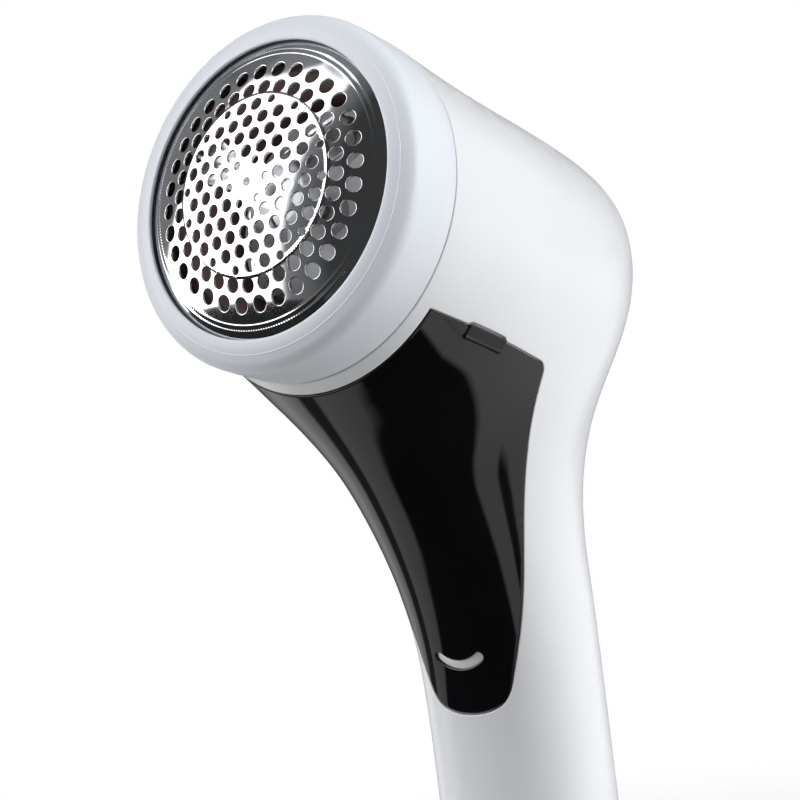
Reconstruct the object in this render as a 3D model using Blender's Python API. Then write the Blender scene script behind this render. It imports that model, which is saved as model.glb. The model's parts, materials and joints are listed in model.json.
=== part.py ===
"""Cordless fabric shaver: round cutting head, curved handle, lint container and battery cap.

The handle stands on its flat battery cap at z = 0.  The head faces -Y and tips upwards, and the
plane x = 0 is the plane of symmetry.  Parts of the head are turned about the head's own axis:
they hang on the empty "head_frame", whose local +Z points out of the cutting face.
"""
import math

import bmesh
import bpy
from mathutils import Matrix, Vector
from mathutils.geometry import delaunay_2d_cdt, interpolate_bezier

# ---------------------------------------------------------------- driving dimensions (metres)
GAP = 0.0003                      # clearance between neighbouring parts

HEAD_CENTRE = Vector((0.0, -0.0455, 0.148))   # centre of the seam between ring and housing
HEAD_TILT = math.radians(18.0)                # how far the head looks up
MOUTH_RADIUS = 0.0308                         # housing at the seam

# Side view of the housing, as (0, y, z) measured from the head's centre.
SHOULDER = Vector((0.0, 0.0779, -0.0098))     # rearmost point
WAIST = Vector((0.0, 0.0556, -0.0630))        # thinnest point of the back
HEEL = Vector((0.0, 0.0595, -0.148))          # bottom of the back
ELBOW = Vector((0.0, 0.0275, -0.0867))        # where the throat becomes the handle's front
TOE = Vector((0.0, 0.0314, -0.148))           # bottom of the front
BACK_SLOPE = -27.0                            # directions of the side view, in degrees
WAIST_SLOPE = -86.9
HEEL_SLOPE = -83.5
THROAT_SLOPE = -40.7
ELBOW_SLOPE = -78.5
TOE_SLOPE = -80.5
BACK_REACH = (0.0445, 0.0168)                 # lengths of the curves' handles, in passing order
SHOULDER_REACH = (0.0141, 0.0369)
HEEL_REACH = 0.0226
THROAT_REACH = (0.0220, 0.0240)
TOE_REACH = 0.0174
HANDLE_HALF_WIDTH = 0.0170
NARROWING = (0.14, 0.64)                      # where the width falls, as fractions of the length
FRONT_LAG = 1.4                               # how much later the front edge is passed
SQUARENESS = 0.2                              # handle section, above a plain ellipse
SQUARING = (0.2, 0.5)                         # where the section changes from the head's circle
WALL = 0.0018

RING_RADIUS = 0.0314
RING_BORE = 0.0286
LIP_RADIUS = 0.0260
LIP_UNDER = 0.0123
FOIL_FLANGE = 0.0278
FOIL_THICKNESS = 0.00035
FOIL_RIM = 0.0260
FOIL_BASE = 0.0120
FOIL_RISE = 0.0055
HOLE_PITCH = 0.00325
HOLE_TURN = math.radians(11.0)
RIM_HOLES = 32
RIM_ROWS = ((0.0173, 0.00122, 1.3), (0.0205, 0.00130, 7.0))   # row radius, hole radius, degrees
SMALL_HOLE = 0.00068
FIELD_HOLE = 0.00108
INNER_RING = 0.00395                          # the six small holes round the centre
FIELD_RANGE = (3, 21)                         # squared steps from the centre, on the grid

CUP_RADIUS = 0.0224
CUP_BORE = 0.0210
CUP_FLOOR = -0.0160
COLLAR_RADIUS = 0.0280
COLLAR_BORE = 0.0228
COLLAR_TOP = 0.0113
COLLAR_BASE = -0.0013
LUG_ANGLES = (90.0, 210.0, 330.0)
LUG_WIDTH = 8.0                               # degrees
RING_TWIST = 15.0                             # degrees

BLADES = 3
BLADE_THICKNESS = 0.0006
BLADE_REACH = 0.0192
SHAFT_RADIUS = 0.0010
BORE_RADIUS = 0.0013
MOTOR_RADIUS = 0.0120
MOTOR_FRONT = -0.0195
MOTOR_BACK = -0.0500

# The lint container lies below line "top" and in front of line "back" of the side view.
CONTAINER_TOP = (Vector((0.0, -0.0030, -0.0190)), Vector((0.0, 0.0262, -0.0310)))
CONTAINER_BACK = (Vector((0.0, 0.0262, -0.0310)), Vector((0.0, 0.02845, -0.0925)))
NECK_BAND = 0.0035
CONTAINER_WALL = 0.0016
CONTAINER_SLOT = (0.0053, -0.0826, 0.0030, 0.0014)   # half width, height, sag, thickness
CATCH_CENTRE = Vector((0.0, 0.0112, -0.0246))
CATCH_SIZE = (0.0030, 0.0088, 0.0030)

COVER_HALF_WIDTH = 0.0110
COVER_TOP = -0.0140
COVER_BOTTOM = -0.1405
CAP_HEIGHT = 0.0042
CELL_RADIUS = 0.00725
CELL_LENGTH = 0.0505
CELL_SPREAD = 0.0075
CELL_FOOT = Vector((0.0, -0.0004, 0.0062))
CELL_LEAN = math.radians(2.6)
SWITCH_HEIGHT = -0.0700                       # knob's centre, from the head's centre
SWITCH_TRAVEL = 0.0040

# Ring: heights above the seam, radii from the head's axis.
RING_SEAT = 0.00015
RING_SIDE_TOP = 0.0070
RING_BULGE = 0.0090
RING_ROUNDING = ((0.0290, 0.0092), (0.0024, 0.0041))   # centre and radii of the rounded edge
RING_FACE = ((0.0284, 0.0133), (0.0270, 0.0131))       # points of the front face
LIP_EDGE = (0.0002, 0.0127)                            # lip's chamfer and height
LUG_BLOCK = ((0.0272, -0.0019, 0.0030), (0.0292, 0.0019, 0.0052))
NOTCH_RADII = (0.0268, 0.0300)
NOTCH_HEIGHTS = (0.0026, 0.0140)
NOTCH_PLAY = 1.0                              # degrees
BEAD_RADIUS = 0.0235                          # ring line pressed in the foil's rim

# Cutting chamber, rotor and fan.
CUP_THICKNESS = 0.0015
CUP_RIM = 0.0108
CUP_EYE = 0.0022
LINT_OUTLET = ((-0.0095, -0.026, -0.0140), (0.0095, -0.014, -0.0045))
BLADE_ROOT = 0.0035
BLADE_FOOT = 0.0062
BLADE_STATIONS = 7
BLADE_START = 35.0                            # degrees
BLADE_PLAY = 0.00004                          # beyond the usual clearance, to the foil
HUB_OUTLINE = ((0.0055, 0.0030), (0.0060, 0.0036), (0.0060, 0.0100), (0.0050, 0.0112))
ARM_BLOCK = ((0.0050, -0.0019, 0.0045), (0.0185, 0.0019, 0.0095))
BLADE_SLOT = ((0.0031, -0.0006, 0.0058), (0.0200, 0.0006, 0.0130))
FAN_HUB = 0.0040
FAN_RADIUS = 0.0195
FAN_SPAN = (-0.0140, -0.0030)                 # hub, from low to high
FAN_PLATE = (-0.0060, -0.0048)
FAN_VANES = 6
VANE_BLOCK = ((0.0035, -0.0006, -0.0135), (0.0190, 0.0006, -0.0055))
SHAFT_SPAN = (-0.0545, 0.0095)
CARRIER_SPRING = (0.0026, 0.00025, -0.0027, 0.0019, 3.5)    # radius, wire, low, high, turns

# Motor, its bracket and the small parts of the head.
CAN_TAIL_EDGE = 0.0006
CAN_NOSE_EDGE = 0.0008
CAN_BOSS = (0.0032, 0.0014)                   # radius, length
END_CAP = (0.0113, 0.0030, 0.0008)            # radius, length, chamfer
TERMINAL_SPREAD = 0.0075
TERMINAL_HALF = (0.0012, 0.0003)
TERMINAL_LENGTH = 0.0045
TERMINAL_EYE = (0.0006, 0.0030)               # radius, distance from the end cap
BRACKET_SLEEVE = (0.0136, -0.0320)            # radius, tail
BRACKET_FLANGE = (0.0205, -0.0194, -0.0178)   # radius, low, high
BRACKET_EYE = (0.0036, -0.0192)               # radius, seat of the can
BRACKET_FLAT = 0.0153                         # where the flange is cut flat, each side
BRACKET_SCREW_SPREAD = 0.0170
BRACKET_SCREW = (0.0006, 0.0025, 0.0013)      # shank radius, length, head radius
BRACKET_SCREW_TIP = -0.0172
BRACKET_HOLE = 0.0009
PIN_PLACE = -0.0256
PIN_RADIUS = 0.0012
PIN_SPAN = (-0.0070, 0.0113)
PIN_ROOM = (-0.010, 0.030)                    # start and length of the pin's bore
PIN_TIP = (0.0008, 0.0005)                    # radius, length of the chamfered tip
INTERLOCK_BLOCK = ((-0.0272, -0.0045, -0.0180), (-0.0230, 0.0045, -0.0085))
SCREW_HEAD = (0.0008, 0.0012, 0.75)           # rim height, full height, share of radius on top
RECESS = (0.6, 0.0002, 0.0005, 0.0020)        # share of radius, half width, low, high

# Rear cover, screws and switch.
UPPER_BAR = ((-0.0225, 0.0120, 0.1235), (0.0225, 0.0170, 0.1295))
LOWER_BAR = ((-0.0158, -0.0020, 0.0625), (0.0158, 0.0035, 0.0675))
SCREW_TIPS = ((-0.0065, 0.0135, 0.1265), (0.0065, 0.0135, 0.1265), (0.0, 0.0005, 0.0650))
COVER_SCREW = (0.0009, 0.0090, 0.0021)        # shank radius, length, head radius
COVER_CORNER = 0.0045
COVER_DEPTH = (0.0035, 0.050)
PILOT_RADIUS = 0.0012
PILOT_DEPTH = 0.0008
HOLE_LENGTH = 0.030
POCKET_LENGTH = 0.020
CLEARING_RADIUS = 0.0014
POCKET_RADIUS = 0.0025
SWITCH_SLOT = (0.0021, 0.012, 0.0030)         # half sizes
KNOB_PAD = (0.0040, 0.0065, 0.0020)           # half width, half length, corner
KNOB_DEPTH = (0.0007, 0.0026)
RIDGE = (0.0028, 0.0020, 0.0032, 0.0003)      # half width, foot, top, half thickness
RIDGE_PITCH = 0.0018
KNOB_STEM = ((-0.0016, -0.0048, -0.0025), (0.0016, 0.0012, 0.0025))
SWITCH_BODY = ((-0.0052, -0.0125, -0.0080), (0.0052, -0.0052, 0.0100))

# Cells, contacts and the cap.
CAP_TONGUE = ((-0.0040, -0.0118, 0.0015), (0.0040, -0.0106, 0.0078))
CELL_EDGE = 0.0005
CELL_NUB = (0.0027, 0.0014)                   # radius, height
CELL_SHOULDER = 0.0006
TRAY_CEILING = (0.0122, 0.0058, 0.0036, 0.0050)   # half width, half depth, low, high
TRAY_RIB = (0.0022, 0.0053, 0.0070, 0.0020, 0.0045)
CONTACT_HALF = (0.0040, 0.0045)
CONTACT_THICKNESS = 0.0004
CONTACT_SPRING = (0.0030, 0.0003, 0.0034, 3.0)    # radius, wire, top, turns
BRIDGE = ((-0.0115, -0.0040), (0.0115, 0.0030))

# Lint container.
ZONE_HALF_WIDTH = 0.036
ZONE_CORNER = 0.0018
ZONE_TAIL = 0.066                             # how far the back line runs down
ZONE_FRONT = (-0.045, -0.004, 0.030)          # how far the outline reaches in front
BAY_WALL = 0.0014
CATCH_SPREAD = 0.0252
SLOT_DEPTH = (0.015, 0.036)
SLOT_TAPER = 0.93                             # inner edge's length against the outer edge's
THROAT_FLOOR = -0.0178
THROAT_LENGTH = 0.030
BEYOND = 0.05                                 # past every casing

# ---------------------------------------------------------------- mesh resolution
STATIONS = 30
AROUND = 40
CAVITY_STATIONS = 20
CAVITY_AROUND = 28
TURNED_STEPS = 56

UP = Vector((0.0, 0.0, 1.0))
BACKWARD = Vector((0.0, 1.0, 0.0))
HEAD_UP = Vector((0.0, math.sin(HEAD_TILT), math.cos(HEAD_TILT)))
HEAD_AXIS = Vector((0.0, -math.cos(HEAD_TILT), math.sin(HEAD_TILT)))
HEAD_MATRIX = Matrix.Translation(HEAD_CENTRE) @ Matrix.Rotation(math.pi / 2 - HEAD_TILT, 4, 'X')


# ---------------------------------------------------------------- materials
def material(name, colour, roughness, metallic=0.0):
    made = bpy.data.materials.new(name)
    made.use_nodes = True
    shader = made.node_tree.nodes["Principled BSDF"]
    shader.inputs["Base Color"].default_value = (*colour, 1.0)
    shader.inputs["Roughness"].default_value = roughness
    shader.inputs["Metallic"].default_value = metallic
    made.diffuse_color = (*colour, 1.0)
    return made


def make_palette():
    return {
        "white": material("gloss_white_plastic", (0.86, 0.87, 0.89), 0.28),
        "ring": material("satin_white_plastic", (0.78, 0.80, 0.84), 0.35),
        "black": material("gloss_black_plastic", (0.012, 0.013, 0.015), 0.12),
        "chrome": material("polished_steel", (0.80, 0.81, 0.83), 0.12, 1.0),
        "steel": material("blade_steel", (0.62, 0.63, 0.65), 0.25, 1.0),
        "brown": material("dark_brown_plastic", (0.07, 0.045, 0.04), 0.5),
        "dark": material("dark_grey_plastic", (0.05, 0.05, 0.055), 0.5),
        "grey": material("light_grey_plastic", (0.45, 0.46, 0.48), 0.4),
        "zinc": material("zinc_plated_steel", (0.60, 0.61, 0.62), 0.35, 1.0),
        "motor": material("motor_steel", (0.60, 0.61, 0.62), 0.35, 1.0),
        "brass": material("brass", (0.75, 0.58, 0.28), 0.3, 1.0),
        "cell": material("cell_sleeve", (0.10, 0.16, 0.24), 0.35),
    }


# ---------------------------------------------------------------- making objects
def clear_scene():
    for old in list(bpy.data.objects):
        bpy.data.objects.remove(old, do_unlink=True)


def object_from(bm, name, finish=None, parent=None):
    bmesh.ops.recalc_face_normals(bm, faces=bm.faces)
    mesh = bpy.data.meshes.new(name)
    bm.to_mesh(mesh)
    bm.free()
    made = bpy.data.objects.new(name, mesh)
    bpy.context.collection.objects.link(made)
    if finish:
        mesh.materials.append(finish)
    made.parent = parent
    return made


def cutter_from(bm, name, parent=None):
    made = object_from(bm, name, parent=parent)
    made.hide_render = True
    made.display_type = 'WIRE'
    return made


def combine(target, tool, operation='DIFFERENCE'):
    step = target.modifiers.new(tool.name, 'BOOLEAN')
    step.operation = operation
    step.solver = 'EXACT'
    step.object = tool


def smooth_step(value):
    value = min(max(value, 0.0), 1.0)
    return value * value * (3.0 - 2.0 * value)


def box_mesh(low, high):
    bm = bmesh.new()
    bmesh.ops.create_cube(bm, size=1.0)
    low, high = Vector(low), Vector(high)
    size = high - low
    bmesh.ops.scale(bm, vec=size, verts=bm.verts)
    bmesh.ops.translate(bm, vec=(low + high) / 2, verts=bm.verts)
    return bm


def turned_mesh(outline, steps=TURNED_STEPS):
    """Spin a closed outline of (radius, height) points about local Z."""
    bm = bmesh.new()
    corners = [bm.verts.new((radius, 0.0, height)) for radius, height in outline]
    edges = [bm.edges.new((a, b)) for a, b in zip(corners, corners[1:] + corners[:1])]
    on_axis = [e for e in edges if max(v.co.x for v in e.verts) < 1e-7]
    bmesh.ops.delete(bm, geom=on_axis, context='EDGES_FACES')
    edges = [e for e in bm.edges]
    bmesh.ops.spin(bm, geom=list(bm.verts) + edges, cent=(0, 0, 0), axis=(0, 0, 1),
                   angle=2 * math.pi, steps=steps, use_merge=True, use_duplicate=False)
    bmesh.ops.remove_doubles(bm, verts=bm.verts, dist=1e-6)
    return bm


def prism_mesh(outline, near, far, place):
    """Extrude a closed 2D outline between two depths; place(u, v, depth) gives the point."""
    bm = bmesh.new()
    ends = [[bm.verts.new(place(u, v, depth)) for u, v in outline] for depth in (near, far)]
    bm.faces.new(ends[0])
    bm.faces.new(list(reversed(ends[1])))
    count = len(outline)
    for i in range(count):
        j = (i + 1) % count
        bm.faces.new((ends[0][i], ends[0][j], ends[1][j], ends[1][i]))
    return bm


def arc(centre, radius, start, end, steps):
    """Points of an arc, angles in degrees."""
    points = []
    for i in range(steps + 1):
        angle = math.radians(start + (end - start) * i / steps)
        points.append((centre[0] + radius * math.cos(angle), centre[1] + radius * math.sin(angle)))
    return points


def rounded_outline(half_u, low, high, radius, steps=3):
    """A rectangle with rounded corners, from -half_u to half_u and low to high."""
    right, left = half_u - radius, radius - half_u
    points = arc((right, high - radius), radius, 0, 90, steps)
    points += arc((left, high - radius), radius, 90, 180, steps)
    points += arc((left, low + radius), radius, 180, 270, steps)
    points += arc((right, low + radius), radius, 270, 360, steps)
    return points


def bar_mesh(centre, radius, length, axis, sides=12):
    """A round bar from centre along axis."""
    bm = bmesh.new()
    bmesh.ops.create_cone(bm, cap_ends=True, segments=sides, radius1=radius, radius2=radius,
                          depth=length)
    turn = Vector(axis).to_track_quat('Z', 'Y').to_matrix().to_4x4()
    place = Matrix.Translation(Vector(centre) + Vector(axis).normalized() * length / 2) @ turn
    bmesh.ops.transform(bm, matrix=place, verts=bm.verts)
    return bm


def join_meshes(parts):
    """Put separate bmeshes into one, for cutters that have several solids."""
    whole = bmesh.new()
    for part in parts:
        mesh = bpy.data.meshes.new("joined")
        part.to_mesh(mesh)
        part.free()
        whole.from_mesh(mesh)
        bpy.data.meshes.remove(mesh)
    return whole


# ---------------------------------------------------------------- the housing's surface
def heading(degrees):
    angle = math.radians(degrees)
    return Vector((0.0, math.cos(angle), math.sin(angle)))


def chain(knots, steps=40):
    """Join Bezier pieces (start, start handle, end handle, end) into one list of points."""
    points = []
    for start, leave, arrive, end in knots:
        piece = interpolate_bezier(start, leave, arrive, end, steps)
        points += piece if not points else piece[1:]
    return points


def back_edge():
    top = HEAD_UP * MOUTH_RADIUS
    waist_way = heading(WAIST_SLOPE)
    return chain((
        (top, top + heading(BACK_SLOPE) * BACK_REACH[0],
         SHOULDER + UP * BACK_REACH[1], SHOULDER),
        (SHOULDER, SHOULDER - UP * SHOULDER_REACH[0],
         WAIST - waist_way * SHOULDER_REACH[1], WAIST),
        (WAIST, WAIST + waist_way * HEEL_REACH,
         HEEL - heading(HEEL_SLOPE) * HEEL_REACH, HEEL),
    ))


def front_edge():
    bottom = -HEAD_UP * MOUTH_RADIUS
    elbow_way = heading(ELBOW_SLOPE)
    return chain((
        (bottom, bottom + heading(THROAT_SLOPE) * THROAT_REACH[0],
         ELBOW - elbow_way * THROAT_REACH[1], ELBOW),
        (ELBOW, ELBOW + elbow_way * TOE_REACH,
         TOE - heading(TOE_SLOPE) * TOE_REACH, TOE),
    ))


def moved_edge(points, inset, turn):
    """Shift a side-view curve inwards along its own normals; turn is +1 or -1."""
    moved = []
    for i, point in enumerate(points):
        way = (points[min(i + 1, len(points) - 1)] - points[max(i - 1, 0)]).normalized()
        moved.append(point + Vector((0.0, way.z, -way.y)) * inset * turn)
    return moved


def at_fraction(points, fraction):
    """The point at a fraction of a polyline's length."""
    steps = [(b - a).length for a, b in zip(points, points[1:])]
    left = fraction * sum(steps)
    for start, end, step in zip(points, points[1:], steps):
        if left <= step:
            return start.lerp(end, left / step)
        left -= step
    return points[-1].copy()


def half_width(fraction):
    start, end = NARROWING
    fall = smooth_step((fraction - start) / (end - start))
    return MOUTH_RADIUS + (HANDLE_HALF_WIDTH - MOUTH_RADIUS) * fall


def section(fraction, edges, inset, around):
    """One closed section of the housing, as points in world space."""
    back = at_fraction(edges[0], fraction)
    front = at_fraction(edges[1], fraction ** FRONT_LAG)
    middle = (back + front) / 2 + HEAD_CENTRE
    reach = (back - front) / 2
    depth = reach.length
    reach = reach.normalized()
    width = half_width(fraction) - inset
    squared = min(max((fraction - SQUARING[0]) / (SQUARING[1] - SQUARING[0]), 0.0), 1.0)
    power = 2.0 / (2.0 + SQUARENESS * squared)
    points = []
    for i in range(around):
        angle = 2 * math.pi * i / around
        side, along = math.sin(angle), math.cos(angle)
        side = math.copysign(abs(side) ** power, side)
        along = math.copysign(abs(along) ** power, along)
        points.append(middle + reach * depth * along + Vector((width * side, 0.0, 0.0)))
    return points


def housing_mesh(inset=0.0, overrun=0.0, stations=STATIONS, around=AROUND):
    """The closed outer form, or an inset one that runs past both ends by overrun."""
    edges = (moved_edge(back_edge(), inset, 1), moved_edge(front_edge(), inset, -1))
    rings = [section(i / stations, edges, inset, around) for i in range(stations + 1)]
    rings[0] = [p + HEAD_AXIS * overrun for p in rings[0]]
    rings[-1] = [p - UP * overrun for p in rings[-1]]
    bm = bmesh.new()
    rows = [[bm.verts.new(p) for p in ring] for ring in rings]
    bm.faces.new(rows[0])
    bm.faces.new(list(reversed(rows[-1])))
    for upper, lower in zip(rows, rows[1:]):
        for i in range(around):
            j = (i + 1) % around
            bm.faces.new((upper[i], lower[i], lower[j], upper[j]))
    return bm


# ---------------------------------------------------------------- the lint container's zone
def offset_line(line, distance):
    """Move a line of the side view away from the container."""
    start, end = line
    way = (end - start).normalized()
    away = Vector((0.0, -way.z, way.y))
    return start + away * distance, way


def meet(line_a, line_b):
    (p, u), (q, v) = line_a, line_b
    cross = u.y * v.z - u.z * v.y
    gap = q - p
    return p + u * ((gap.y * v.z - gap.z * v.y) / cross)


def container_outline(top, back, neck, corner=ZONE_CORNER):
    """Side view of the container's zone, with each line moved out by its own distance."""
    top_line = offset_line(CONTAINER_TOP, top)
    back_line = offset_line(CONTAINER_BACK, back)
    neck_line = (HEAD_AXIS * (neck - NECK_BAND), -HEAD_UP)
    front = meet(top_line, neck_line)
    corner_point = meet(top_line, back_line)
    tip = back_line[0] + back_line[1] * ZONE_TAIL
    leave = corner_point - top_line[1] * corner
    arrive = corner_point + back_line[1] * corner
    rounding = interpolate_bezier(leave, corner_point, corner_point, arrive, 5)
    forward, below, ahead = ZONE_FRONT
    outer = (tip + Vector((0.0, forward, below)), front - HEAD_UP * ahead)
    points = [front, *rounding, tip, *outer]
    return [(p.y, p.z) for p in points]


def container_zone(name, top, back, neck):
    outline = container_outline(top, back, neck)

    def place(y, z, x):
        return HEAD_CENTRE + Vector((x, y, z))

    return cutter_from(prism_mesh(outline, -ZONE_HALF_WIDTH, ZONE_HALF_WIDTH, place), name)


def catch_mesh(grow):
    """The two catches on the container's upper edges."""
    blocks = []
    fall = CONTAINER_TOP[1] - CONTAINER_TOP[0]
    lean = Matrix.Rotation(math.atan2(fall.z, fall.y), 4, 'X')
    for side in (-1, 1):
        centre = HEAD_CENTRE + CATCH_CENTRE + Vector((side * CATCH_SPREAD, 0.0, 0.0))
        half = Vector(CATCH_SIZE) / 2 + Vector((grow, grow, grow))
        block = box_mesh(-half, half)
        bmesh.ops.transform(block, matrix=Matrix.Translation(centre) @ lean, verts=block.verts)
        blocks.append(block)
    return join_meshes(blocks)


# ---------------------------------------------------------------- casings
def cavity():
    """The hollow of the housing, with the wall that keeps lint out of the motor bay."""
    hollow = cutter_from(
        housing_mesh(WALL, 0.004, CAVITY_STATIONS, CAVITY_AROUND), "housing_hollow")
    wall = GAP + BAY_WALL
    combine(hollow, container_zone("lint_bay_wall", wall, wall, wall))
    return hollow


def cross_bars():
    """Two bars inside the housing that take the rear cover's screws."""
    bars = cutter_from(join_meshes((box_mesh(*UPPER_BAR), box_mesh(*LOWER_BAR))), "cross_bars")
    reach = cutter_from(housing_mesh(WALL / 2, 0.0, CAVITY_STATIONS, CAVITY_AROUND), "bar_reach")
    combine(bars, reach, 'INTERSECT')
    return bars


def screw_holes(radius, name):
    """Bores from each cover screw's tip outwards."""
    holes = [bar_mesh(Vector(tip) - BACKWARD * PILOT_DEPTH, radius, HOLE_LENGTH, BACKWARD)
             for tip in SCREW_TIPS]
    return cutter_from(join_meshes(holes), name)


def screw_pockets():
    """Wider pockets from each head's seat outwards."""
    seat = BACKWARD * (COVER_SCREW[1] - GAP)
    pockets = [bar_mesh(Vector(tip) + seat, POCKET_RADIUS, POCKET_LENGTH, BACKWARD, 16)
               for tip in SCREW_TIPS]
    return cutter_from(join_meshes(pockets), "screw_pockets")


def cover_zone(name, grow):
    outline = rounded_outline(COVER_HALF_WIDTH + grow, COVER_BOTTOM - grow, COVER_TOP + grow,
                              COVER_CORNER + grow, 4)

    def place(x, z, y):
        return Vector((x, y, HEAD_CENTRE.z + z))

    return cutter_from(prism_mesh(outline, *COVER_DEPTH, place), name)


def make_housing(palette, hollow, throat):
    housing = object_from(housing_mesh(), "main_housing", palette["white"])
    combine(housing, hollow)
    combine(housing, cover_zone("cover_window", GAP))
    combine(housing, cross_bars(), 'UNION')
    combine(housing, container_zone("lint_bay", GAP, GAP, GAP))
    combine(housing, cutter_from(catch_mesh(GAP), "catch_notches"))
    combine(housing, throat)
    combine(housing, screw_holes(PILOT_RADIUS, "housing_screw_holes"))
    combine(housing, cutter_from(foot_slab(CAP_HEIGHT + GAP), "cap_room"))
    return housing


def foot_slab(height):
    """Everything below a height."""
    return box_mesh((-BEYOND, -BEYOND, -BEYOND), (BEYOND, BEYOND, height))


def switch_frame():
    """Place and slide direction of the knob on the back of the handle."""
    edge = back_edge()
    spot = min(edge, key=lambda p: abs(p.z - SWITCH_HEIGHT) + (1.0 if p.y < 0.03 else 0.0))
    index = edge.index(spot)
    way = (edge[index - 1] - edge[index + 1]).normalized()
    place = Matrix.Translation(HEAD_CENTRE + spot)
    turn = Matrix.Rotation(math.atan2(-way.y, way.z), 4, 'X')
    return place @ turn


def make_rear_cover(palette, hollow):
    cover = object_from(housing_mesh(), "rear_cover", palette["white"])
    combine(cover, hollow)
    combine(cover, cover_zone("cover_outline", 0.0), 'INTERSECT')
    width, depth, length = SWITCH_SLOT
    slot = box_mesh((-width, -depth, -length), (width, depth, length + SWITCH_TRAVEL))
    bmesh.ops.transform(slot, matrix=switch_frame(), verts=slot.verts)
    combine(cover, cutter_from(slot, "switch_slot"))
    combine(cover, screw_holes(CLEARING_RADIUS, "cover_screw_holes"))
    combine(cover, screw_pockets())
    return cover


def make_battery_cap(palette):
    cap = object_from(housing_mesh(), "battery_cap", palette["white"])
    combine(cap, cutter_from(foot_slab(CAP_HEIGHT), "cap_slab"), 'INTERSECT')
    combine(cap, cutter_from(box_mesh(*CAP_TONGUE), "cap_tongue"), 'UNION')
    return cap


def slot_outline():
    """Outline of the smile-shaped slot at the container's foot."""
    half, height, sag, thick = CONTAINER_SLOT
    radius = (half * half + sag * sag) / (2 * sag)
    spread = math.degrees(math.asin(half / radius))
    centre = (0.0, height - sag + radius)
    outer = arc(centre, radius, 270 - spread, 270 + spread, 8)
    short = spread * SLOT_TAPER
    inner = arc(centre, radius - thick, 270 + short, 270 - short, 8)
    return outer + inner


def make_container(palette, throat):
    vessel = object_from(housing_mesh(), "lint_container", palette["black"])
    combine(vessel, container_zone("container_form", 0.0, 0.0, 0.0), 'INTERSECT')
    hollow = cutter_from(
        housing_mesh(CONTAINER_WALL, 0.0, CAVITY_STATIONS, CAVITY_AROUND), "container_hollow")
    inside = container_zone("container_inside", 0.004, -CONTAINER_WALL, -CONTAINER_WALL)
    combine(hollow, inside, 'INTERSECT')
    combine(vessel, hollow)
    combine(vessel, throat)
    combine(vessel, cutter_from(catch_mesh(0.0), "container_catches"), 'UNION')

    def place(x, z, y):
        return HEAD_CENTRE + Vector((x, y, z))

    combine(vessel, cutter_from(prism_mesh(slot_outline(), *SLOT_DEPTH, place), "foot_slot"))
    return vessel


# ---------------------------------------------------------------- cutting head
def foil_height(radius):
    """Top of the foil above the seam, at a distance from the head's axis."""
    if radius >= FOIL_RIM:
        return FOIL_BASE
    return FOIL_BASE + FOIL_RISE * (1.0 - (radius / FOIL_RIM) ** 2)


def foil_holes():
    """Centre, radius and corner count of every hole."""
    holes = [((0.0, 0.0), SMALL_HOLE, 4)]
    for i in range(6):
        angle = HOLE_TURN + math.radians(60 * i)
        spot = (INNER_RING * math.cos(angle), INNER_RING * math.sin(angle))
        holes.append((spot, SMALL_HOLE, 4))
    first, last = FIELD_RANGE
    for i in range(-5, 6):
        for j in range(-5, 6):
            norm = i * i + i * j + j * j
            if not first <= norm <= last:
                continue
            x, y = (i + j / 2) * HOLE_PITCH, j * math.sqrt(3) / 2 * HOLE_PITCH
            spun = Matrix.Rotation(HOLE_TURN, 2) @ Vector((x, y))
            holes.append(((spun.x, spun.y), SMALL_HOLE if norm == last else FIELD_HOLE, 6))
    for radius, size, phase in RIM_ROWS:
        for i in range(RIM_HOLES):
            angle = math.radians(phase) + 2 * math.pi * i / RIM_HOLES
            holes.append(((radius * math.cos(angle), radius * math.sin(angle)), size, 6))
    return holes


def foil_sheet(holes):
    """Flat triangulation of the perforated disc: points and triangles."""
    points, edges = [], []

    def add_ring(centre, radius, count, phase=0.0):
        first = len(points)
        for k in range(count):
            angle = phase + 2 * math.pi * k / count
            points.append(Vector((centre[0] + radius * math.cos(angle),
                                  centre[1] + radius * math.sin(angle))))
            edges.append((first + k, first + (k + 1) % count))

    add_ring((0.0, 0.0), FOIL_FLANGE, TURNED_STEPS)
    add_ring((0.0, 0.0), FOIL_RIM, TURNED_STEPS)
    add_ring((0.0, 0.0), BEAD_RADIUS, TURNED_STEPS // 2)
    for centre, radius, count in holes:
        add_ring(centre, radius, count, math.atan2(centre[1], centre[0]))
    flat, _, faces, _, _, _ = delaunay_2d_cdt(points, edges, [], 1, 1e-7)
    kept = []
    for face in faces:
        middle = sum((flat[i] for i in face), Vector((0.0, 0.0))) / len(face)
        inside = any((middle - Vector(centre)).length < radius * math.cos(math.radians(30))
                     for centre, radius, _ in holes)
        if not inside:
            kept.append(face)
    return flat, kept


def make_foil(palette, head):
    flat, faces = foil_sheet(foil_holes())
    bm = bmesh.new()
    tops = [bm.verts.new((p.x, p.y, foil_height(p.length))) for p in flat]
    for face in faces:
        bm.faces.new([tops[i] for i in face])
    bmesh.ops.delete(bm, geom=[v for v in bm.verts if not v.link_faces], context='VERTS')
    grown = bmesh.ops.extrude_face_region(bm, geom=list(bm.faces))
    lowered = [v for v in grown["geom"] if isinstance(v, bmesh.types.BMVert)]
    bmesh.ops.translate(bm, vec=(0, 0, -FOIL_THICKNESS), verts=lowered)
    return object_from(bm, "shaving_foil", palette["chrome"], head)


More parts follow.
